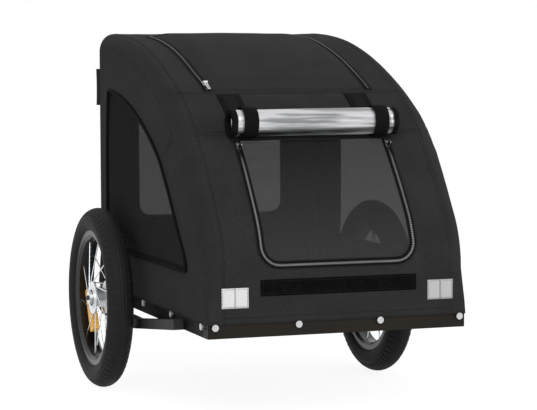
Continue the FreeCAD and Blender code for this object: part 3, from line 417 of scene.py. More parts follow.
BOX_CORNERS = [(-1, -1), (-1, 1), (1, 1), (1, -1)]
BOX_FACES = [(0, 1, 2, 3), (7, 6, 5, 4), (0, 4, 5, 1), (1, 5, 6, 2), (2, 6, 7, 3), (3, 7, 4, 0)]


def boxes_along(heap, mapping, line, size, taper, lift=0.0):
    """A small box, narrower at its top, at each point of a line of parameters on a surface."""
    length, width, height = size
    points, out = mapping(line)
    along = unit(np.gradient(points, axis=0))
    across = unit(np.cross(out, along))
    for p, a, c, n in zip(points + out * lift, along, across, out):
        foot = np.array([a * length / 2 * i + c * width / 2 * j for i, j in BOX_CORNERS])
        heap.add(np.vstack([p + n * height + foot * taper, p + foot]), BOX_FACES)


# Materials

def rgb(colour):
    """A colour's three parts, from one level if it is a grey."""
    return colour if isinstance(colour, tuple) else (colour,) * 3


class Nodes:
    """A short way to build shader nodes, for a material or a world."""

    def __init__(self, owner, output):
        self.owner = owner
        owner.use_nodes = True
        self.tree = owner.node_tree
        self.tree.nodes.clear()
        self.output = self.new(output).inputs["Surface"]

    def new(self, kind, *values, **named):
        node = self.tree.nodes.new("ShaderNode" + kind)
        for key, value in [*enumerate(values), *named.items()]:
            self.feed(node.inputs[key], value)
        return node

    def feed(self, socket, value):
        if isinstance(value, bpy.types.NodeSocket):
            self.tree.links.new(value, socket)
        else:
            socket.default_value = value

    def math(self, operation, *values):
        node = self.new("Math", *values)
        node.operation = operation
        return node.outputs[0]

    def times(self, a, b):
        return self.math("MULTIPLY", a, b)

    def white(self, kind, strength):
        return self.new(kind, Color=(1, 1, 1, 1), Strength=strength).outputs[0]

    def background(self, share, plain, pale):
        """One shader as light and another as seen: by the camera, in gloss and through clear pieces."""
        rays = self.new("LightPath").outputs
        seen = self.math("MAXIMUM", rays["Is Camera Ray"], rays["Is Glossy Ray"])
        seen = self.math("MAXIMUM", seen, rays["Is Transmission Ray"])
        mix = self.new("MixShader", self.times(seen, share), plain, pale)
        self.feed(self.output, mix.outputs[0])


class Surface(Nodes):
    """The nodes of a material round one principled shader."""

    def __init__(self, name):
        super().__init__(bpy.data.materials.new(name), "OutputMaterial")
        self.shader = self.new("BsdfPrincipled")
        self.feed(self.output, self.shader.outputs[0])

    @property
    def place(self):
        return self.new("TexCoord").outputs["Object"]

    @property
    def uv(self):
        node = self.new("UVMap")
        node.uv_map = "weave"
        return node.outputs[0]

    def split(self, vector):
        return self.new("SeparateXYZ", Vector=vector).outputs

    def scaled(self, vector, scale):
        return self.new("Mapping", Vector=vector, Scale=scale).outputs[0]

    def noise(self, scale, detail=2.0, rough=0.5, at=None):
        at = self.place if at is None else at
        return self.new("TexNoise", Vector=at, Scale=scale, Detail=detail, Roughness=rough).outputs[0]

    def ramp(self, value, *stops):
        node = self.new("ValToRGB", value)
        band = node.color_ramp
        while len(band.elements) < len(stops):
            band.elements.new(0.5)
        for element, (position, colour) in zip(band.elements, stops):
            element.position = position
            element.color = (*rgb(colour), 1.0)
        return node.outputs[0]

    def shades(self, value, colour, *stops):
        """A ramp through darker and lighter shares of one colour."""
        return self.ramp(value, *((position, tuple(c * share for c in rgb(colour))) for position, share in stops))

    def mixed(self, share, a, b, blend="MIX"):
        node = self.new("Mix")
        node.data_type = "RGBA"
        node.blend_type = blend
        for index, value in ((0, share), (6, a), (7, b)):
            self.feed(node.inputs[index], value)
        return node.outputs[2]

    def blend(self, a, b, share):
        """A share of one value and the rest of another."""
        return self.math("ADD", self.times(a, share), self.times(b, 1 - share))

    def bump(self, height, strength, distance, **under):
        return self.new("Bump", Strength=strength, Distance=distance, Height=height, **under).outputs[0]

    def wave(self, value, pitch):
        return self.math("ABSOLUTE", self.math("SINE", self.times(value, math.pi / pitch)))

    def weave(self, pitch):
        """The height of a plain weave, 0 to 1, with threads a pitch apart."""
        u, v = (self.times(way, 1.0 / pitch) for way in self.split(self.uv)[:2])
        cells = self.math("ADD", self.math("FLOOR", u), self.math("FLOOR", v))
        cell = self.math("MODULO", self.math("ABSOLUTE", cells), 2.0)
        warp = self.times(self.wave(u, 1.0), cell)
        weft = self.times(self.wave(v, 1.0), self.math("SUBTRACT", 1.0, cell))
        return self.math("ADD", warp, weft)

    def lattice(self, a, b, pitch):
        """Two crossing sets of slanted waves, each a pitch apart."""
        return [self.wave(self.math(way, a, b), pitch) for way in ("ADD", "SUBTRACT")]

    def set(self, base, rough, **values):
        for name, value in {"Base_Color": base, "Roughness": rough, **values}.items():
            self.feed(self.shader.inputs[name.replace("_", " ")], value)
        return self.owner


def cloth(name, colour):
    """Plain woven cloth with a faint mottle."""
    n = Surface(name)
    height = n.weave(1.1 * MM)
    patch = n.noise(22.0, 3.0)
    base = n.shades(n.blend(height, n.noise(260.0), 0.45), colour, (0.15, 0.62), (0.5, 1), (0.85, 1.42))
    base = n.mixed(1.0, base, n.ramp(patch, (0.3, 0.9), (0.7, 1.1)), "MULTIPLY")
    normal = n.bump(height, 0.55, 0.0004)
    normal = n.bump(n.noise(900.0, at=n.uv), 0.25, 0.0003, Normal=normal)
    normal = n.bump(patch, 0.2, 0.002, Normal=normal)
    return n.set(base, 0.92, Specular_IOR_Level=0.06, Sheen_Weight=0.02, Sheen_Roughness=0.5, Normal=normal)


def webbing(name, colour, pitch):
    """Ribbed tape or twisted thread, by the pitch of its ribs."""
    n = Surface(name)
    u, v, _ = n.split(n.uv)
    height = n.times(n.wave(n.math("ADD", u, v), pitch * MM), n.wave(v, pitch * MM * 0.6))
    base = n.shades(n.blend(height, n.noise(700.0), 0.6), colour, (0.1, 0.5), (0.6, 1), (0.9, 1.8))
    return n.set(base, 0.85, Specular_IOR_Level=0.06, Normal=n.bump(height, 0.5, 0.0003))


def net(name, paleness):
    """Open mesh cloth: threads round small holes, paler towards the bottom by a set factor."""
    n = Surface(name)
    u, v, _ = n.split(n.uv)
    hole = n.times(n.wave(u, 1.7 * MM), n.wave(v, 1.7 * MM))
    base = n.shades(n.blend(hole, n.noise(420.0), 0.7), 0.0155, (0.15, 1.35), (0.75, 0.7))
    # The net's colour is multiplied up towards the bottom, by its height
    height = n.times(n.split(n.place)[2], 2.0)
    base = n.mixed(1.0, base, n.ramp(height, (0.5, paleness), (0.8, 1.0)), "MULTIPLY")
    return n.set(base, 0.9, Specular_IOR_Level=0.05, Alpha=n.ramp(hole, (0.25, 0.88), (0.8, 0.66)),
                 Normal=n.bump(hole, 0.4, 0.0003))


def metal(name, colour, rough, scale=(1.0, 1.0, 1.0), vary=0.1):
    """Bare metal with streaks drawn out by a scale."""
    n = Surface(name)
    streak = n.noise(60.0, 3.0, at=n.scaled(n.place, scale))
    base = n.shades(streak, colour, (0.3, 1 - vary), (0.7, 1 + vary * 0.6))
    level = n.math("MULTIPLY_ADD", streak, rough * 0.5, rough * 0.75)
    return n.set(base, level, Metallic=1.0, Normal=n.bump(n.noise(900.0), 0.08, 0.0002))


def powder_coat(name, colour, gloss):
    """Satin paint with the fine skin of a powder coat and a few rubbed places."""
    n = Surface(name)
    rub = n.noise(35.0, 5.0, 0.65, n.scaled(n.place, (1.0, 1.0, 3.0)))
    base = n.shades(n.noise(9.0, 3.0), colour, (0.3, 0.85), (0.7, 1.2))
    worn = (*(c * 2.6 for c in rgb(colour)), 1.0)
    base = n.mixed(n.ramp(rub, (0.66, 0.0), (0.74, 0.5)), base, worn)
    return n.set(base, n.ramp(rub, (0.4, 0.42), (0.75, 0.6)), Specular_IOR_Level=gloss,
                 Normal=n.bump(n.noise(420.0, 3.0), 0.18, 0.0003))


def plastic(name, colour, rough):
    n = Surface(name)
    base = n.shades(n.noise(40.0), colour, (0.3, 0.85), (0.7, 1.12))
    return n.set(base, rough, IOR=1.49, Normal=n.bump(n.noise(500.0, 3.0), 0.15, 0.0003))


def rubber(name, colour):
    n = Surface(name)
    paleness = n.noise(55.0, 4.0)
    base = n.shades(paleness, colour, (0.3, 0.8), (0.65, 1), (0.85, 1.5))
    return n.set(base, n.math("MULTIPLY_ADD", paleness, 0.2, 0.52), Specular_IOR_Level=0.1,
                 Normal=n.bump(n.noise(1100.0), 0.2, 0.0002))


def rolled_vinyl(name):
    """Clear vinyl in many tight layers, drawn half metallic, with painted reflections in its colour: dark and
    light streaks along the roll.
    """
    n = Surface(name)
    wide = n.noise(1.0, 2.0, 0.45, n.scaled(n.uv, (5.0, 62.0, 1.0)))
    fine = n.noise(1.0, 3.0, 0.5, n.scaled(n.uv, (14.0, 230.0, 1.0)))
    # Painted reflection: the dark and light streaks of the base colour stand in for the surroundings mirrored in
    # the layers
    base = n.ramp(n.blend(wide, fine, 0.78), (0.36, (0.03, 0.03, 0.032)), (0.43, (0.16, 0.165, 0.17)),
                  (0.50, (0.25, 0.255, 0.26)), (0.57, (0.54, 0.54, 0.55)))
    return n.set(base, 0.24, Metallic=0.5, Coat_Weight=0.3, Coat_Roughness=0.06, Normal=n.bump(wide, 0.35, 0.006))


def hook_pile(name, colour):
    """The matted pile of a hook-and-loop strip."""
    n = Surface(name)
    tuft = n.noise(620.0, 4.0, 0.7)
    base = n.shades(n.blend(tuft, n.noise(130.0, 3.0), 0.6), colour, (0.35, 0.4), (0.55, 1), (0.75, 3.0))
    return n.set(base, 0.95, Specular_IOR_Level=0.03, Normal=n.bump(tuft, 0.9, 0.0012))


def reflective(name):
    """Silver cloth of glass beads with a fine lattice pressed into it, with painted shade darkening it towards the
    right.
    """
    n = Surface(name)
    u, v, _ = n.split(n.uv)
    cell = n.times(*(n.math("GREATER_THAN", wave, 0.13) for wave in n.lattice(u, v, 3.2 * MM)))
    bead = n.ramp(n.noise(1500.0), (0.3, (0.5, 0.5, 0.505)), (0.7, (0.62, 0.62, 0.625)))
    base = n.mixed(cell, (0.5, 0.5, 0.5, 1.0), bead)
    # Painted shade: the patches darken towards the right, where the light falls off
    across = n.math("MULTIPLY_ADD", n.split(n.place)[0], 1.5, 0.5)
    base = n.mixed(1.0, base, n.ramp(across, (0.3, 1.0), (0.7, 0.66)), "MULTIPLY")
    return n.set(base, 0.42, Metallic=0.25, Normal=n.bump(cell, 0.3, 0.0002))


def amber(name):
    """An amber lens with the small prisms of a reflector, and a painted glow as of light passing through it."""
    n = Surface(name)
    _, y, z = n.split(n.place)
    prism = n.times(*n.lattice(y, z, 3.0 * MM))
    base = n.ramp(prism, (0.0, (0.68, 0.25, 0.006)), (0.5, (0.92, 0.47, 0.02)), (1.0, (1.0, 0.66, 0.1)))
    # Painted glow: the emission in the lens colour stands in for light shining through the amber
    return n.set(base, 0.12, Specular_IOR_Level=0.6, Coat_Weight=0.5, Coat_Roughness=0.05, Emission_Color=base,
                 Emission_Strength=0.25, Normal=n.bump(prism, 0.5, 0.0008))


CLOTH = cloth("charcoal_cloth", 0.0193)
INNER_CLOTH = cloth("floor_cloth", 0.16)
NET = net("net_mesh", 1.3)
DOOR_NET = net("door_net_mesh", 2.1)
TAPE = webbing("zip_tape", 0.005, 1.1)
BINDING = webbing("binding_tape", 0.005, 1.2)
STRAP = webbing("strap_webbing", 0.009, 1.6)
THREAD = webbing("sewing_thread", 0.019, 0.6)
PALE_THREAD = webbing("pale_thread", 0.42, 0.6)
TEETH = metal("zip_teeth", 0.5, 0.3)
COIL = plastic("zip_coil", 0.06, 0.45)
ZIP_METAL = metal("zip_slider", 0.8, 0.18)
DARK_METAL = metal("zip_pull_black", 0.012, 0.35)
PILE = hook_pile("hook_and_loop", 0.004)
SILVER = reflective("reflective_cloth")
VINYL = rolled_vinyl("rolled_vinyl")
FRAME_PAINT = powder_coat("frame_paint", (0.0105, 0.0082, 0.006), 0.12)
# The side rails get a darker, duller copy of the frame paint: painted shade for sides that face away from the
# light
SHADED_SIDE_PAINT = powder_coat("side_rail_paint", 0.004, 0.03)
STEEL = metal("plated_steel", (0.036, 0.036, 0.037), 0.58, (6.0, 1.0, 6.0), 0.12)
BOLT = metal("bolt_steel", 0.55, 0.3)
CHROME = metal("wheel_chrome", (0.74, 0.76, 0.78), 0.12)
HUB = metal("hub_zinc", (0.80, 0.82, 0.84), 0.42)
SLIDER = metal("door_slider", 0.3, 0.5)
RIM = metal("rim_metal", (0.05, 0.051, 0.053), 0.3, (1.0, 3.0, 3.0), 0.12)
PLASTIC = plastic("black_plastic", 0.014, 0.5)
TYRE = rubber("tyre_rubber", 0.0145)
TUBE = rubber("tube_rubber", 0.012)
AMBER = amber("amber_lens")


def paint(material, *nodes):
    for node in nodes:
        slots = frame["nodes"][node].data.materials
        slots.clear()
        slots.append(material)


def pair(*names):
    return [f"{side}_{name}" for name in names for side in ("left", "right")]


paint(FRAME_PAINT, "front_rail", "rear_rail", "floor_crossbars", "rear_hoop", "roof_bar", *pair("arch_tube"))
paint(SHADED_SIDE_PAINT, *pair("rail"))
paint(STEEL, "axle_tube", "tow_bracket", *pair("axle_bow", "bearings"))
paint(CHROME, *pair("spokes"))
paint(HUB, *pair("hub", "axle"))
paint(RIM, *pair("rim"))
paint(BOLT, "rail_bolts")
paint(PLASTIC, "hoop_sockets", *pair("release_button"))
paint(TUBE, *pair("inner_tube"))
paint(AMBER, *pair("reflector"))
paint(ZIP_METAL, "left_roof_slider", "left_roof_pull")
paint(SLIDER, *pair("door_slider"))
paint(DARK_METAL, *pair("door_pull"))


# Cloth's ease: how far it stands off its hoops

WAVES = [(np.array([random.uniform(-1, 1) for _ in range(3)]), random.uniform(0, 6.28)) for _ in range(9)]
LEFT_SAG = 5.0
RIGHT_SAG = 3.5
REAR_SWELL = 2.0
SIDE_SWELL = 5.0
FLAP_SWELL = 4.5
NET_DROP = 0.6
DOOR_DROP = 0.7
REAR_NET_DROP = 0.8


def ripple(points, wavelength):
    total = np.zeros(len(points))
    for way, phase in WAVES:
        total += np.sin(points @ (way / np.linalg.norm(way)) * (2 * math.pi / wavelength) + phase)
    return total / len(WAVES)


def smooth(value, low, high):
    t = np.clip((value - low) / (high - low), 0, 1)
    return t * t * (3 - 2 * t)


def bump_at(value, middle, reach):
    return np.exp(-((value - middle) / reach) ** 2)


def ease(s, t, points):
    """Lift of the front and roof cloth off the plain cover, in millimetres."""
    slack = 0.9 * ripple(points, 150.0) + 0.35 * ripple(points, 47.0)
    edge = smooth(s, 0, 30) * smooth(S_END - s, 0, 30)
    seams = 0.35 * np.sin(t / 2.1) * (bump_at(s, S_HEADER, 7.0) + bump_at(s, S_FLAP_FRONT, 7.0))
    on_roof = smooth(s, S_FLAP_FRONT, S_FLAP_FRONT + 90) * smooth(S_REAR_SEAM - s, 5, 70)
    left = LEFT_SAG * smooth(-t, 96, 130) * (1 - 0.4 * smooth(-t, 150, 195))
    right = RIGHT_SAG * bump_at(t, FLAP_HALF + 12, 18.0)
    return slack * edge + seams - (left + right) * on_roof


def rear_ease(s, t, points):
    """Lift of the rear cloth."""
    slack = ripple(points + 90.0, 160.0) + 0.35 * ripple(points, 50.0)
    flat = smooth(FLAT_X - np.abs(t), -30, 20) * smooth(S_END - s, 0, 30)
    flat = flat * smooth(s, S_REAR_SEAM, S_REAR_SEAM + 60)
    return slack * flat + REAR_SWELL * flat * smooth(points[:, 2], HEM_Z, 330)


def flap_ease(s, t, points):
    """Lift of the roof flap, which swells between its zips."""
    across = np.clip(1 - (t / FLAP_HALF) ** 2, 0, 1) ** 0.6
    along = smooth(s, S_FLAP_FRONT, S_FLAP_FRONT + 120) * smooth(S_FLAP_REAR + 4 - s, 0, 60)
    return ease(s, t, points) + FLAP_SWELL * across * along


def door_ease(s, t, points):
    """Lift of the taut door."""
    return np.full(len(s), -DOOR_DROP)


def surface_over(lift):
    """A surface that gives points and outward ways at (t, s) parameters, by a rule for its lift off the cover."""
    def mapping(params, extra=0.0):
        t, s = params.T
        plain, out = bag(s, t)
        return plain + out * (lift(s, t, plain) + extra)[:, None], out
    return mapping


front_points, rear_points, flap_points, door_points = map(surface_over, (ease, rear_ease, flap_ease, door_ease))


def panel(label, half, low, high, hole, steps, mapping):
    """Cloth of the cabin between a rectangle of seams and an opening."""
    rows = ring_between(rectangle(0.0, half, low, high, PANEL_STEP)[:-1], hole, steps)
    flat = rows.reshape(-1, 2)
    points, out = mapping(flat)
    faces = facing(points, grid_faces(*rows.shape[:2], True), out)
    item = mesh_object(f"{label}_cloth", points, faces, CLOTH, "trailer", f"{label}_cover", flat)
    return thicken(item)


FRONT_CLOTH = panel("front", CUT_X, 0.0, S_HEADER, door_line(TAPE_REACH, 0.5), 16, front_points)
ROOF_CLOTH = panel("roof", CUT_X, S_HEADER, S_REAR_SEAM, flap_line(TAPE_REACH, -1.0), 14, front_points)


# Side panels: a rounded edge strip, then a wall round the mesh window

SIDES = ((-1, "left"), (1, "right"))
SIDE_CREASES = [((-126.0, 395.0), (-170.0, 432.0), 2.6, 3.2), ((-150.0, 360.0), (-215.0, 410.0), 1.0, 9.0)]


def side_bulge(y, z):
    """How far a side wall stands out, by its place."""
    middle = smooth(z, HEM_Z + 6, 300) * smooth(560 - z, 0, 190)
    fore = smooth(y - FRONT_Y, 10, 150) * smooth(REAR_Y - y, 10, 120)
    return SIDE_SWELL * middle * fore


def crease(points, side):
    """A soft fold or two where the front curve of a side pulls against its hoop, weaker on the right."""
    total = np.zeros(len(points))
    for start, end, depth, width in SIDE_CREASES:
        a, b = np.array(start), np.array(end)
        along = (b - a) / np.linalg.norm(b - a)
        away = points[:, 1:] - a
        run = away @ along / np.linalg.norm(b - a)
        off = away @ np.array([-along[1], along[0]])
        fold = bump_at(off, 0, width) - 0.8 * bump_at(off, -width * 1.6, width)
        total += depth * fold * smooth(run, -0.2, 0.3) * smooth(1.2 - run, 0, 0.5)
    return total if side < 0 else total * 0.6


def wall_ease(points, side):
    """Lift of the cloth off a plain side wall."""
    slack = ripple(points + side * 40.0, 170.0) + 0.35 * ripple(points, 52.0)
    slack *= smooth(points[:, 2], HEM_Z, HEM_Z + 30)
    return side_bulge(points[:, 1], points[:, 2]) + slack + crease(points, side)


def wall(params, side):
    """Points and outward normals of a plain side wall at (y, z) parameters."""
    out = np.tile(np.array([side, 0.0, 0.0]), (len(params), 1))
    return np.column_stack([np.full(len(params), side * WALL_X), params]), out


def side_panel(side, label):
    """The edge strip and the wall of one side as a single cloth."""
    heap = Heap()
    s_values = np.linspace(0, S_REAR_SEAM, 210)
    across = np.linspace(CUT_X, EDGE_T, 10)
    flat = grid(s_values, across * side)
    t, s = flat.T
    plain, out = bag(s, t)
    fade = smooth(np.abs(t), SEAM_X, EDGE_T)
    lift = ease(s, t, plain) * (1 - fade) + wall_ease(plain, side) * fade
    points = plain + out * lift[:, None]
    heap.add(points, facing(points, grid_faces(len(s_values), len(across)), out), flat)
    s_edge = np.concatenate([s_values, np.linspace(S_REAR_SEAM, S_END, 90)[1:]])
    edge = bag(s_edge, np.full(len(s_edge), side * EDGE_T))[0][:, 1:]
    outer = np.vstack([edge, spaced(edge[[-1, 0]], PANEL_STEP)[1:-1]])
    rows = ring_between(outer, side_line(1.0), 14)
    flat = rows.reshape(-1, 2)
    plain, out = wall(flat, side)
    points = plain + out * wall_ease(plain, side)[:, None]
    heap.add(points, facing(points, grid_faces(*rows.shape[:2], True), out), flat)
    item = heap.object(f"{label}_cloth", CLOTH, "trailer", f"{label}_cover", True)
    return thicken(item)


LEFT_CLOTH, RIGHT_CLOTH = (side_panel(*each) for each in SIDES)
REAR_CLOTH = panel("rear", EDGE_T, S_REAR_SEAM, S_END, rear_line(1.0), 14, rear_points)


# Nets: fine open cloth, one sheet over each outline

def filled(name, line, mapping, steps, material, body, node):
    """A sheet over a closed outline in a surface's parameters."""
    middle = middle_of(line)
    rows = ring_between(line, middle + (line - middle) * 0.05, steps)
    count, columns = rows.shape[:2]
    flat = np.vstack([rows.reshape(-1, 2), middle])
    points, out = mapping(flat)
    last = (count - 1) * columns
    fan = [(last + c, last + (c + 1) % columns, len(flat) - 1) for c in range(columns)]
    faces = facing(points, grid_faces(count, columns, True) + fan, out)
    return mesh_object(name, points, faces, material, body, node, flat)


def net_sheet(name, line, mapping, body, node, material=NET):
    return filled(name, line, mapping, 18, material, body, node)


def wall_mapping(side):
    def mapping(params, extra=0.0):
        plain, out = wall(params, side)
        return plain + out * (side_bulge(*params.T) - NET_DROP + extra)[:, None], out
    return mapping


LEFT_WALL, RIGHT_WALL = wall_mapping(-1), wall_mapping(1)
WINDOWS = [("left", side_line, LEFT_WALL, LEFT_CLOTH), ("right", side_line, RIGHT_WALL, RIGHT_CLOTH),
           ("rear", rear_line, partial(rear_points, extra=-REAR_NET_DROP), REAR_CLOTH)]
NETS = [(net_sheet(f"{label}_net", line_at(3.0), mapping, "trailer", f"{label}_window_mesh"), carrier)
        for label, line_at, mapping, carrier in WINDOWS]


# Piping: a bound cord round each window with its flat tape

PIPING_RADIUS = 2.3
PIPING_SIDES = 10
PIPING_TAPE = 6.0


def piped(heap, points, out):
    """A cord along a closed line of points."""
    across = np.cross(out, unit(np.roll(points, -1, axis=0) - np.roll(points, 1, axis=0)))
    ring = np.stack([points + PIPING_RADIUS * (math.cos(angle) * across + math.sin(angle) * out)
                     for angle in circle(PIPING_SIDES)], axis=1)
    faces = [(a, d, c, b) for a, b, c, d in grid_faces(len(points), PIPING_SIDES, True, True)]
    girth = np.linspace(0, 2 * math.pi * PIPING_RADIUS, PIPING_SIDES)
    heap.add(ring.reshape(-1, 3), faces, grid(run_along(points), girth))


def banded(heap, inner, outer, mapping, lift, thickness, close=True):
    """A flat tape between two matched lines of parameters, with its edges turned down."""
    top_a, out_a = mapping(inner)
    top_b, out_b = mapping(outer)
    count = len(inner)
    points = np.stack([top_a + out_a * (lift - thickness), top_a + out_a * lift, top_b + out_b * lift,
                       top_b + out_b * (lift - thickness)], axis=1)
    faces = grid_faces(count, 4, True, close)
    if not close:
        faces += [(3, 2, 1, 0), tuple(4 * count - 4 + c for c in range(4))]
    width = float(np.linalg.norm(inner[0] - outer[0]))
    heap.add(points.reshape(-1, 3), faces, grid(run_along(inner), [0, 0.2, width, width + 0.2]))


piping = Heap()
PIPED = [(side_line, LEFT_WALL, 2.2, 1.0, 360), (side_line, RIGHT_WALL, 2.2, 1.0, 360),
         (rear_line, rear_points, 1.6, 0.6, 300)]
for line_at, mapping, cord_lift, tape_lift, count in PIPED:
    piped(piping, *mapping(resampled(line_at(0.0), count), cord_lift))
    tape = matched(line_at(0.5), line_at(-PIPING_TAPE), count * 2 // 3)
    banded(piping, *tape, mapping, tape_lift, 1.2)
piping.object("window_binding", BINDING, "trailer", "window_piping", True)


# Mesh door and roof flap

NETS.append((net_sheet("door_net", door_line(3.0), door_points, "door", "front_door_mesh", DOOR_NET), FRONT_CLOTH))
FLAP_CLOTH = thicken(filled("flap_cloth", flap_line(3.0, -1.0), flap_points, 22, CLOTH, "flap",
                            "roof_flap"))


# Zips: a tape each side of the teeth, one on the cover and one on the door or flap

TEETH_PITCH = 3.6


def zip_pair(name, line_at, moving, material, tooth):
    middle = ZIP_WIDTH / 2
    halves = [("trailer", middle + 0.3, ZIP_WIDTH + 0.5, 1, "fixed"), (moving, -1.5, middle - 0.3, -1, "moving")]
    for body, inner, outer, side, label in halves:
        tape = Heap()
        banded(tape, line_at(inner), line_at(outer), front_points, 0.9, 0.9, False)
        tape.object(f"{name}_tape_{label}", TAPE, body, name if side > 0 else None)
        teeth = Heap()
        line = evenly(line_at(middle + side * tooth[1] * 0.42), TEETH_PITCH)
        if side > 0:
            line = 0.5 * (line[1:] + line[:-1])
        boxes_along(teeth, front_points, line, tooth, 0.75, 0.5)
        teeth.object(f"{name}_teeth_{label}", material, body)


zip_pair("door_zip", door_line, "door", TEETH, (1.3, 2.0, 1.3))
zip_pair("roof_zip", flap_line, "flap", COIL, (1.7, 1.7, 1.0))


# Stitching

STITCH = (3.4, 0.8, 0.55)
STITCH_PITCH = 5.1


def stitched(name, lines, body, thread=THREAD):
    """Rows of thread along lines of parameters on surfaces."""
    heap = Heap()
    for line, mapping in lines:
        boxes_along(heap, mapping, evenly(line, STITCH_PITCH), STITCH, 0.6)
    heap.object(name, thread, body)


def straight(start, end):
    return spaced(np.array([start, end], float), 4.0)


seams = [straight((-SEAM_X - 20, s), (SEAM_X + 20, s))
         for s in (S_HEADER - 3.5, S_HEADER + 3.5, S_FLAP_FRONT - 4.0, S_FLAP_FRONT - 9.0)]
seams.append(straight((-SEAM_X, 10.0), (SEAM_X, 10.0)))
seams += [straight((t, 4.0), (t, S_REAR_SEAM - 4)) for t in (-SEAM_X + 2.5, SEAM_X - 2.5)]
seams += [line_at(ZIP_WIDTH + 2.5) for line_at in (door_line, flap_line)]
stitched("cover_stitching", [(line, front_points) for line in seams], "trailer")
stitched("flap_stitching", [(flap_line(-3.5), flap_points)], "flap")


# Hook-and-loop strip and reflective patches

PATCH_STEP = 3.0
STRIP_HALF = 125
STRIP_HEIGHTS = (198, 222)
PATCHES = [(-186, -144), (144, 186)]
PATCH_HEIGHTS = (181.5, 211.5)
PATCH_SEAM = 0.25


def patch(heap, x_range, z_range, lift, thickness):
    """A thin rectangle of cloth on the cover, closed all round, with its edges eased down."""
    columns, rows = (max(3, int((high - low) / PATCH_STEP)) for low, high in (x_range, z_range))
    xs = np.linspace(*x_range, columns)
    ss = np.linspace(*s_at_height(z_range), rows)
    params = grid(ss, xs)
    t, s = params.T
    base, out = front_points(params)
    rim = np.min([t - xs[0], xs[-1] - t, s - ss[0], ss[-1] - s], axis=0)
    top = base + out * (lift + thickness * (0.55 + 0.45 * smooth(rim, 0, 2.0)))[:, None]
    low = base + out * (lift - 0.3)
    count = rows * columns
    faces = flipped(grid_faces(rows, columns))
    faces += [tuple(count + i for i in face) for face in grid_faces(rows, columns)]
    index = np.arange(count).reshape(rows, columns)
    edge = np.concatenate([index[0], index[1:, -1], index[-1, -2::-1], index[-2:0:-1, 0]]).tolist()
    faces += [(a, b, count + b, count + a) for a, b in zip(edge, edge[1:] + edge[:1])]
    heap.add(np.vstack([top, low]), faces, np.vstack([params, params]))


strip = Heap()
patch(strip, (-STRIP_HALF, STRIP_HALF), STRIP_HEIGHTS, 0.2, 1.7)
strip.object("hook_strip", PILE, "trailer", "hook_loop_strip", True)
silver = Heap()
for low, high in PATCHES:
    middle = (low + high) / 2
    for ends in ((low, middle - PATCH_SEAM), (middle + PATCH_SEAM, high)):
        patch(silver, ends, PATCH_HEIGHTS, 0.2, 0.9)
silver.object("silver_patches", SILVER, "trailer", "reflective_patches", True)


# Rain window rolled up over the door

ROLL_LOW, ROLL_HIGH = box_mm("rain_window_roll")
ROLL_CENTRE = (ROLL_LOW + ROLL_HIGH) / 2
ROLL_RADIUS = (ROLL_HIGH[2] - ROLL_LOW[2]) / 2
ROLL_HALF = (ROLL_HIGH[0] - ROLL_LOW[0]) / 2
ROLL_TURNS = 4
ROLL_INNER = 13.5
ROLL_BINDING = 8.0
VINYL_HALF = ROLL_HALF - 7


def roll_spiral(x, grow=0.0):
    """A wound line round the roll's middle at a place along it, a little uneven as a hand-rolled sheet is."""
    turns = np.linspace(0, ROLL_TURNS, ROLL_TURNS * 48 + 1)
    angle = turns * 2 * math.pi + 0.6
    share = turns / ROLL_TURNS
    radius = ROLL_INNER + (ROLL_RADIUS - 0.9 - ROLL_INNER) * share
    flats = np.cos(7 * (angle + 0.0012 * x)) + 0.5 * np.cos(4 * angle - 0.011 * x + 1.0)
    radius = radius + 0.55 * flats * (0.4 + 0.6 * share) - 0.8 * share + grow
    return turned(np.full(len(turns), x), ROLL_CENTRE, radius, angle)


def roll_sheet(name, x_values, material, grow, thickness, node):
    lines = np.array([roll_spiral(x, grow) for x in x_values])
    faces = grid_faces(*lines.shape[:2])
    uv = grid(x_values, run_along(lines[0]))[:, ::-1]
    item = mesh_object(name, lines.reshape(-1, 3), faces, material, "trailer", node, uv)
    return thicken(item, thickness, 0.0)


VINYL_SHEET = roll_sheet("rolled_window", np.linspace(-VINYL_HALF, VINYL_HALF, 40), VINYL, 0.0, 0.6,
                         "rain_window_roll")
for side, label in SIDES:
    ends = sorted((side * (ROLL_HALF - ROLL_BINDING), side * ROLL_HALF))
    roll_sheet(f"{label}_window_binding", np.linspace(*ends, 5), BINDING, 0.25, 1.5, None)


# Straps round the roll, each sewn to the cover by a tab

STRAP_PLACES = (-107.0, 107.0)
STRAP_HALF = 11.5
STRAP_RADIUS = ROLL_RADIUS + 0.1
STRAP_THICKNESS = 1.5
TAB_HALF = 19.0
TAB_HEIGHTS = (HEADER_Z + 6, 490.0)
TAIL_HEIGHTS = (HEADER_Z + 6, 486.0)


def strap_ring(heap, low, high):
    angle = circle(72)
    xs = np.array([low, low, low + 0.6, high - 0.6, high, high])
    rs = STRAP_RADIUS + STRAP_THICKNESS * np.array([0, 0.6, 1, 1, 0.6, 0])
    points = turned(np.tile(xs, len(angle)), ROLL_CENTRE, *grid(angle, rs).T)
    heap.add(points, grid_faces(len(angle), len(xs), True, True), grid(angle * STRAP_RADIUS, xs - low))


straps = Heap()
tails = Heap()
for place in STRAP_PLACES:
    strap_ring(straps, place - STRAP_HALF, place + STRAP_HALF)
    patch(straps, (place - TAB_HALF, place + TAB_HALF), TAB_HEIGHTS, 0.3, 1.2)
    patch(tails, (place - 12.5, place + 11.0), TAIL_HEIGHTS, 1.3, 1.1)
straps.object("roll_strap_webbing", BINDING, "trailer", "roll_straps", True)
tails.object("roll_strap_tails", STRAP, "trailer", None, True)


def sewn_round(middle, half, low, high, lift):
    """The line of stitches round a patch on the front, between two heights."""
    return rectangle(middle, half, *s_at_height((low, high)), ZIP_STEP), partial(front_points, extra=lift)


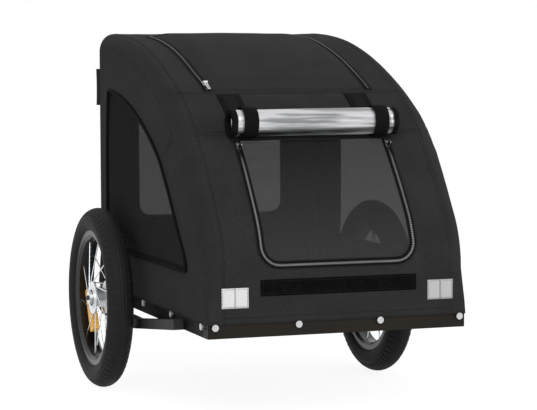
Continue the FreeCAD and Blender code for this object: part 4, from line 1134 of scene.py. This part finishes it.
trim = [sewn_round(place, 10.0, 466.0, 484.0, 2.3) for place in STRAP_PLACES]
trim.append(sewn_round(0.0, 122.5, 200.5, 219.5, 1.6))
stitched("trim_stitching", trim, "trailer")
stitched("patch_stitching", [sewn_round((low + high) / 2, 19.5, 183.5, 209.5, 1.0) for low, high in PATCHES],
         "trailer", PALE_THREAD)


# Flag-pole sleeve: a loop of cloth sewn to the rear

SLEEVE_POINTS = 48
SLEEVE_SQUARENESS = 0.75
SLEEVE_THICKNESS = 1.4


def sleeve():
    low, high = box_mm("flag_sleeve")
    middle, half = (low + high) / 2, (high - low) / 2
    angle = circle(SLEEVE_POINTS)
    shape = np.sign(ways(angle)) * np.abs(ways(angle)) ** SLEEVE_SQUARENESS
    heights = np.linspace(low[2], high[2], 14)
    rows = []
    for z in heights:
        waist = 1 - 0.05 * math.sin(math.pi * (z - low[2]) / (high[2] - low[2]))
        rows.append(np.column_stack([middle[:2] + shape * half[:2] * waist, np.full(SLEEVE_POINTS, z)]))
    faces = grid_faces(len(heights), SLEEVE_POINTS, True)
    item = mesh_object("sleeve_cloth", np.vstack(rows), faces, CLOTH, "trailer", "flag_sleeve",
                       grid(heights, angle * half[0]))
    return thicken(item, SLEEVE_THICKNESS)


SLEEVE = sleeve()


# Floor board wrapped in cloth, notched at its corners for the hoop sockets

FLOOR_NOTCH = 29.0


def floor_board():
    low, high = box_mm("floor_panel")
    x, y0, y1 = high[0], low[1], high[1]
    a, b, c = x - FLOOR_NOTCH, y0 + FLOOR_NOTCH, y1 - FLOOR_NOTCH
    outline = spaced_ring(np.array([(-a, y0), (a, y0), (a, b), (x, b), (x, c), (a, c), (a, y1), (-a, y1), (-a, c),
                                    (-x, c), (-x, b), (-a, b)]), 8.0)
    centre = np.array([0.0, (y0 + y1) / 2])
    shares = [0.0, 0.0, 0.006, *np.linspace(0.06, 0.97, 12)]
    heights = [low[2], high[2] - 1.2, high[2] - 0.2] + [high[2]] * 12
    count = len(outline)
    points = np.vstack([np.column_stack([outline + (centre - outline) * share, np.full(count, z)])
                        for share, z in zip(shares, heights)])
    points[:, 2] += np.where(points[:, 2] > high[2] - 0.1, 0.25 * ripple(points, 60.0) - 0.3, 0)
    faces = grid_faces(len(shares), count, True)
    faces += [tuple(range(len(points) - count, len(points))), tuple(reversed(range(count)))]
    mesh_object("floor_cloth", points, faces, INNER_CLOTH, "trailer", "floor_panel", points[:, :2])


floor_board()


# Tyres with a ribbed crown and small shoulder blocks

TYRE_TURNS = 432
TYRE_BEAD = math.radians(136)
TYRE_THICKNESS = 2.4
LUGS, LUG_HEIGHT = 72, 1.3
SIPES, RIB_HEIGHT = 108, 1.5


def tyre(side, label):
    node = f"{label}_tyre"
    low, high = box_mm(node)
    middle = (low + high) / 2
    section = (high[0] - low[0]) / 2
    ring = (high[2] - low[2]) / 2 - section
    angle = np.linspace(-TYRE_BEAD, TYRE_BEAD, 73)
    lean, around = grid(circle(TYRE_TURNS), angle).T
    off = np.abs(np.degrees(lean))
    block = ((around * LUGS / (2 * math.pi) + np.where(lean > 0, 0.0, 0.5)) % 1.0) < 0.62
    lug = np.where((off > 30) & (off < 62) & block, LUG_HEIGHT, 0.0)
    groove = ((off > 7) & (off < 9.5)) | ((off > 17) & (off < 19.5))
    rib = np.where((off < 26) & ~groove, RIB_HEIGHT, 0.0)
    sipe = ((around * SIPES / (2 * math.pi)) % 1.0) < 0.12
    rib = np.where(sipe & (off < 26) & (off > 9), rib * 0.4, rib)
    bands = 0.4 * bump_at(off, 80, 2.2) + 0.4 * bump_at(off, 104, 2.2) + 0.5 * bump_at(off, 120, 3.0)
    radius = section - 0.5 - smooth(72 - off, 0, 8) + lug + rib + bands
    out = turned(side * np.sin(lean), (0, 0, 0), np.cos(lean), around)
    points = turned(middle[0] + side * radius * np.sin(lean), middle, ring + radius * np.cos(lean), around)
    faces = facing(points, grid_faces(TYRE_TURNS, len(angle), False, True), out)
    item = mesh_object(f"{label}_tread", points, faces, TYRE, f"{label}_wheel", node)
    thicken(item, TYRE_THICKNESS)


for each in SIDES:
    tyre(*each)


# Sheets of cloth, by the size that each was cut to

def cut_places(item):
    """The flat places of a cloth's corners, from its weave's own coordinates."""
    places = np.zeros(len(item.data.loops) * 2, np.float32)
    item.data.uv_layers["weave"].data.foreach_get("uv", places)
    return places.reshape(-1, 2)


def cut_area(item):
    """The flat area of a cloth in square metres."""
    places = cut_places(item).astype(float)
    total = 0.0
    for face in item.data.polygons:
        corner = places[face.loop_start:face.loop_start + face.loop_total]
        total += abs(np.sum(cross_product(corner, np.roll(corner, -1, axis=0)))) / 2
    return total


def cut_box(item):
    """The width and length of a cloth in metres."""
    return tuple(float(v) for v in np.ptp(cut_places(item), axis=0))


SIDE_BLANK = (690.0, 560.0)
ARCHES = pair("arch_tube")
SHEETS = [(FRONT_CLOTH, (2 * SEAM_X + 2, S_HEADER), ["front_rail"] + ARCHES),
          (ROOF_CLOTH, (2 * SEAM_X + 2, S_REAR_SEAM - S_HEADER), ARCHES + ["roof_bar"]),
          (LEFT_CLOTH, SIDE_BLANK, ["left_rail", "left_arch_tube"]),
          (RIGHT_CLOTH, SIDE_BLANK, ["right_rail", "right_arch_tube"]),
          (REAR_CLOTH, (2 * EDGE_T, S_END - S_REAR_SEAM), ["rear_rail", "rear_hoop"]),
          (FLAP_CLOTH, (2 * FLAP_HALF + 6, S_FLAP_REAR - S_FLAP_FRONT + 4), [ROOF_CLOTH.name])]
for item, (width, length), carriers in SHEETS:
    area = min(cut_area(item), width * length * MM * MM)
for item, carrier in NETS:
    cut_box(item)
    cut_area(item)


# Floor, light and camera

FLOOR_REACH = 12.0
FLOOR_GLOW = 1.14
FLOOR_GLOW_SHARE = 0.8
WORLD_SEEN = 1.0
WORLD_LIGHT = 0.53
VIEW_ANGLES = (-19.5, 4.2, -0.2)
VIEW_PLACE = (-90.4, 326.0, 3053.9)
VIEW_AIM = (0, -273.2, 0)
FOCAL_PIXELS = 2000
PHOTO_PIXELS = 537
SENSOR = 36.0


def stage():
    mesh = bpy.data.meshes.new("floor")
    mesh.from_pydata([(FLOOR_REACH * x, FLOOR_REACH * y, 0) for x, y in BOX_CORNERS], [], [(0, 3, 2, 1)])
    item = placed("floor", mesh)
    n = Surface("pale_floor")
    base = n.ramp(n.noise(0.7), (0.3, 0.90), (0.7, 0.94))
    mesh.materials.append(n.set(base, 0.9, Specular_IOR_Level=0.1))
    n.background(FLOOR_GLOW_SHARE, n.shader.outputs[0], n.white("Emission", FLOOR_GLOW))


def world():
    n = Nodes(bpy.data.worlds.new("studio"), "OutputWorld")
    bpy.context.scene.world = n.owner
    n.background(1.0, n.white("Background", WORLD_LIGHT), n.white("Background", WORLD_SEEN))


def lamp(name, place, aim, size, watts):
    data = bpy.data.lights.new(name, "AREA")
    data.shape = "SQUARE"
    data.size = size
    data.energy = watts
    item = placed(name, data)
    item.location = place
    item.rotation_euler = (Vector(aim) - Vector(place)).to_track_quat("-Z", "Y").to_euler()


def camera():
    """The photograph's viewing angle, worked out from its wheels, rails and bolts."""
    azimuth, elevation, roll = (math.radians(v) for v in VIEW_ANGLES)
    axes = Matrix.Rotation(azimuth, 4, "Z") @ Matrix.Rotation(math.pi / 2 - elevation, 4, "X")
    place = axes @ Vector(VIEW_PLACE) + Vector(VIEW_AIM)
    data = bpy.data.cameras.new("camera")
    data.sensor_width = SENSOR
    data.lens = FOCAL_PIXELS / PHOTO_PIXELS * SENSOR
    data.clip_end = 100.0
    item = placed("camera", data)
    item.matrix_world = Matrix.Translation(place * MM) @ axes @ Matrix.Rotation(roll, 4, "Z")
    bpy.context.scene.camera = item


stage()
world()
lamp("key", (-1.0, -3.0, 2.1), (0, 0, 0.35), 2.2, 82)
lamp("fill", (2.3, -1.9, 0.9), (0, 0, 0.25), 2.0, 26)
camera()
bpy.context.scene.view_settings.view_transform = "Standard"
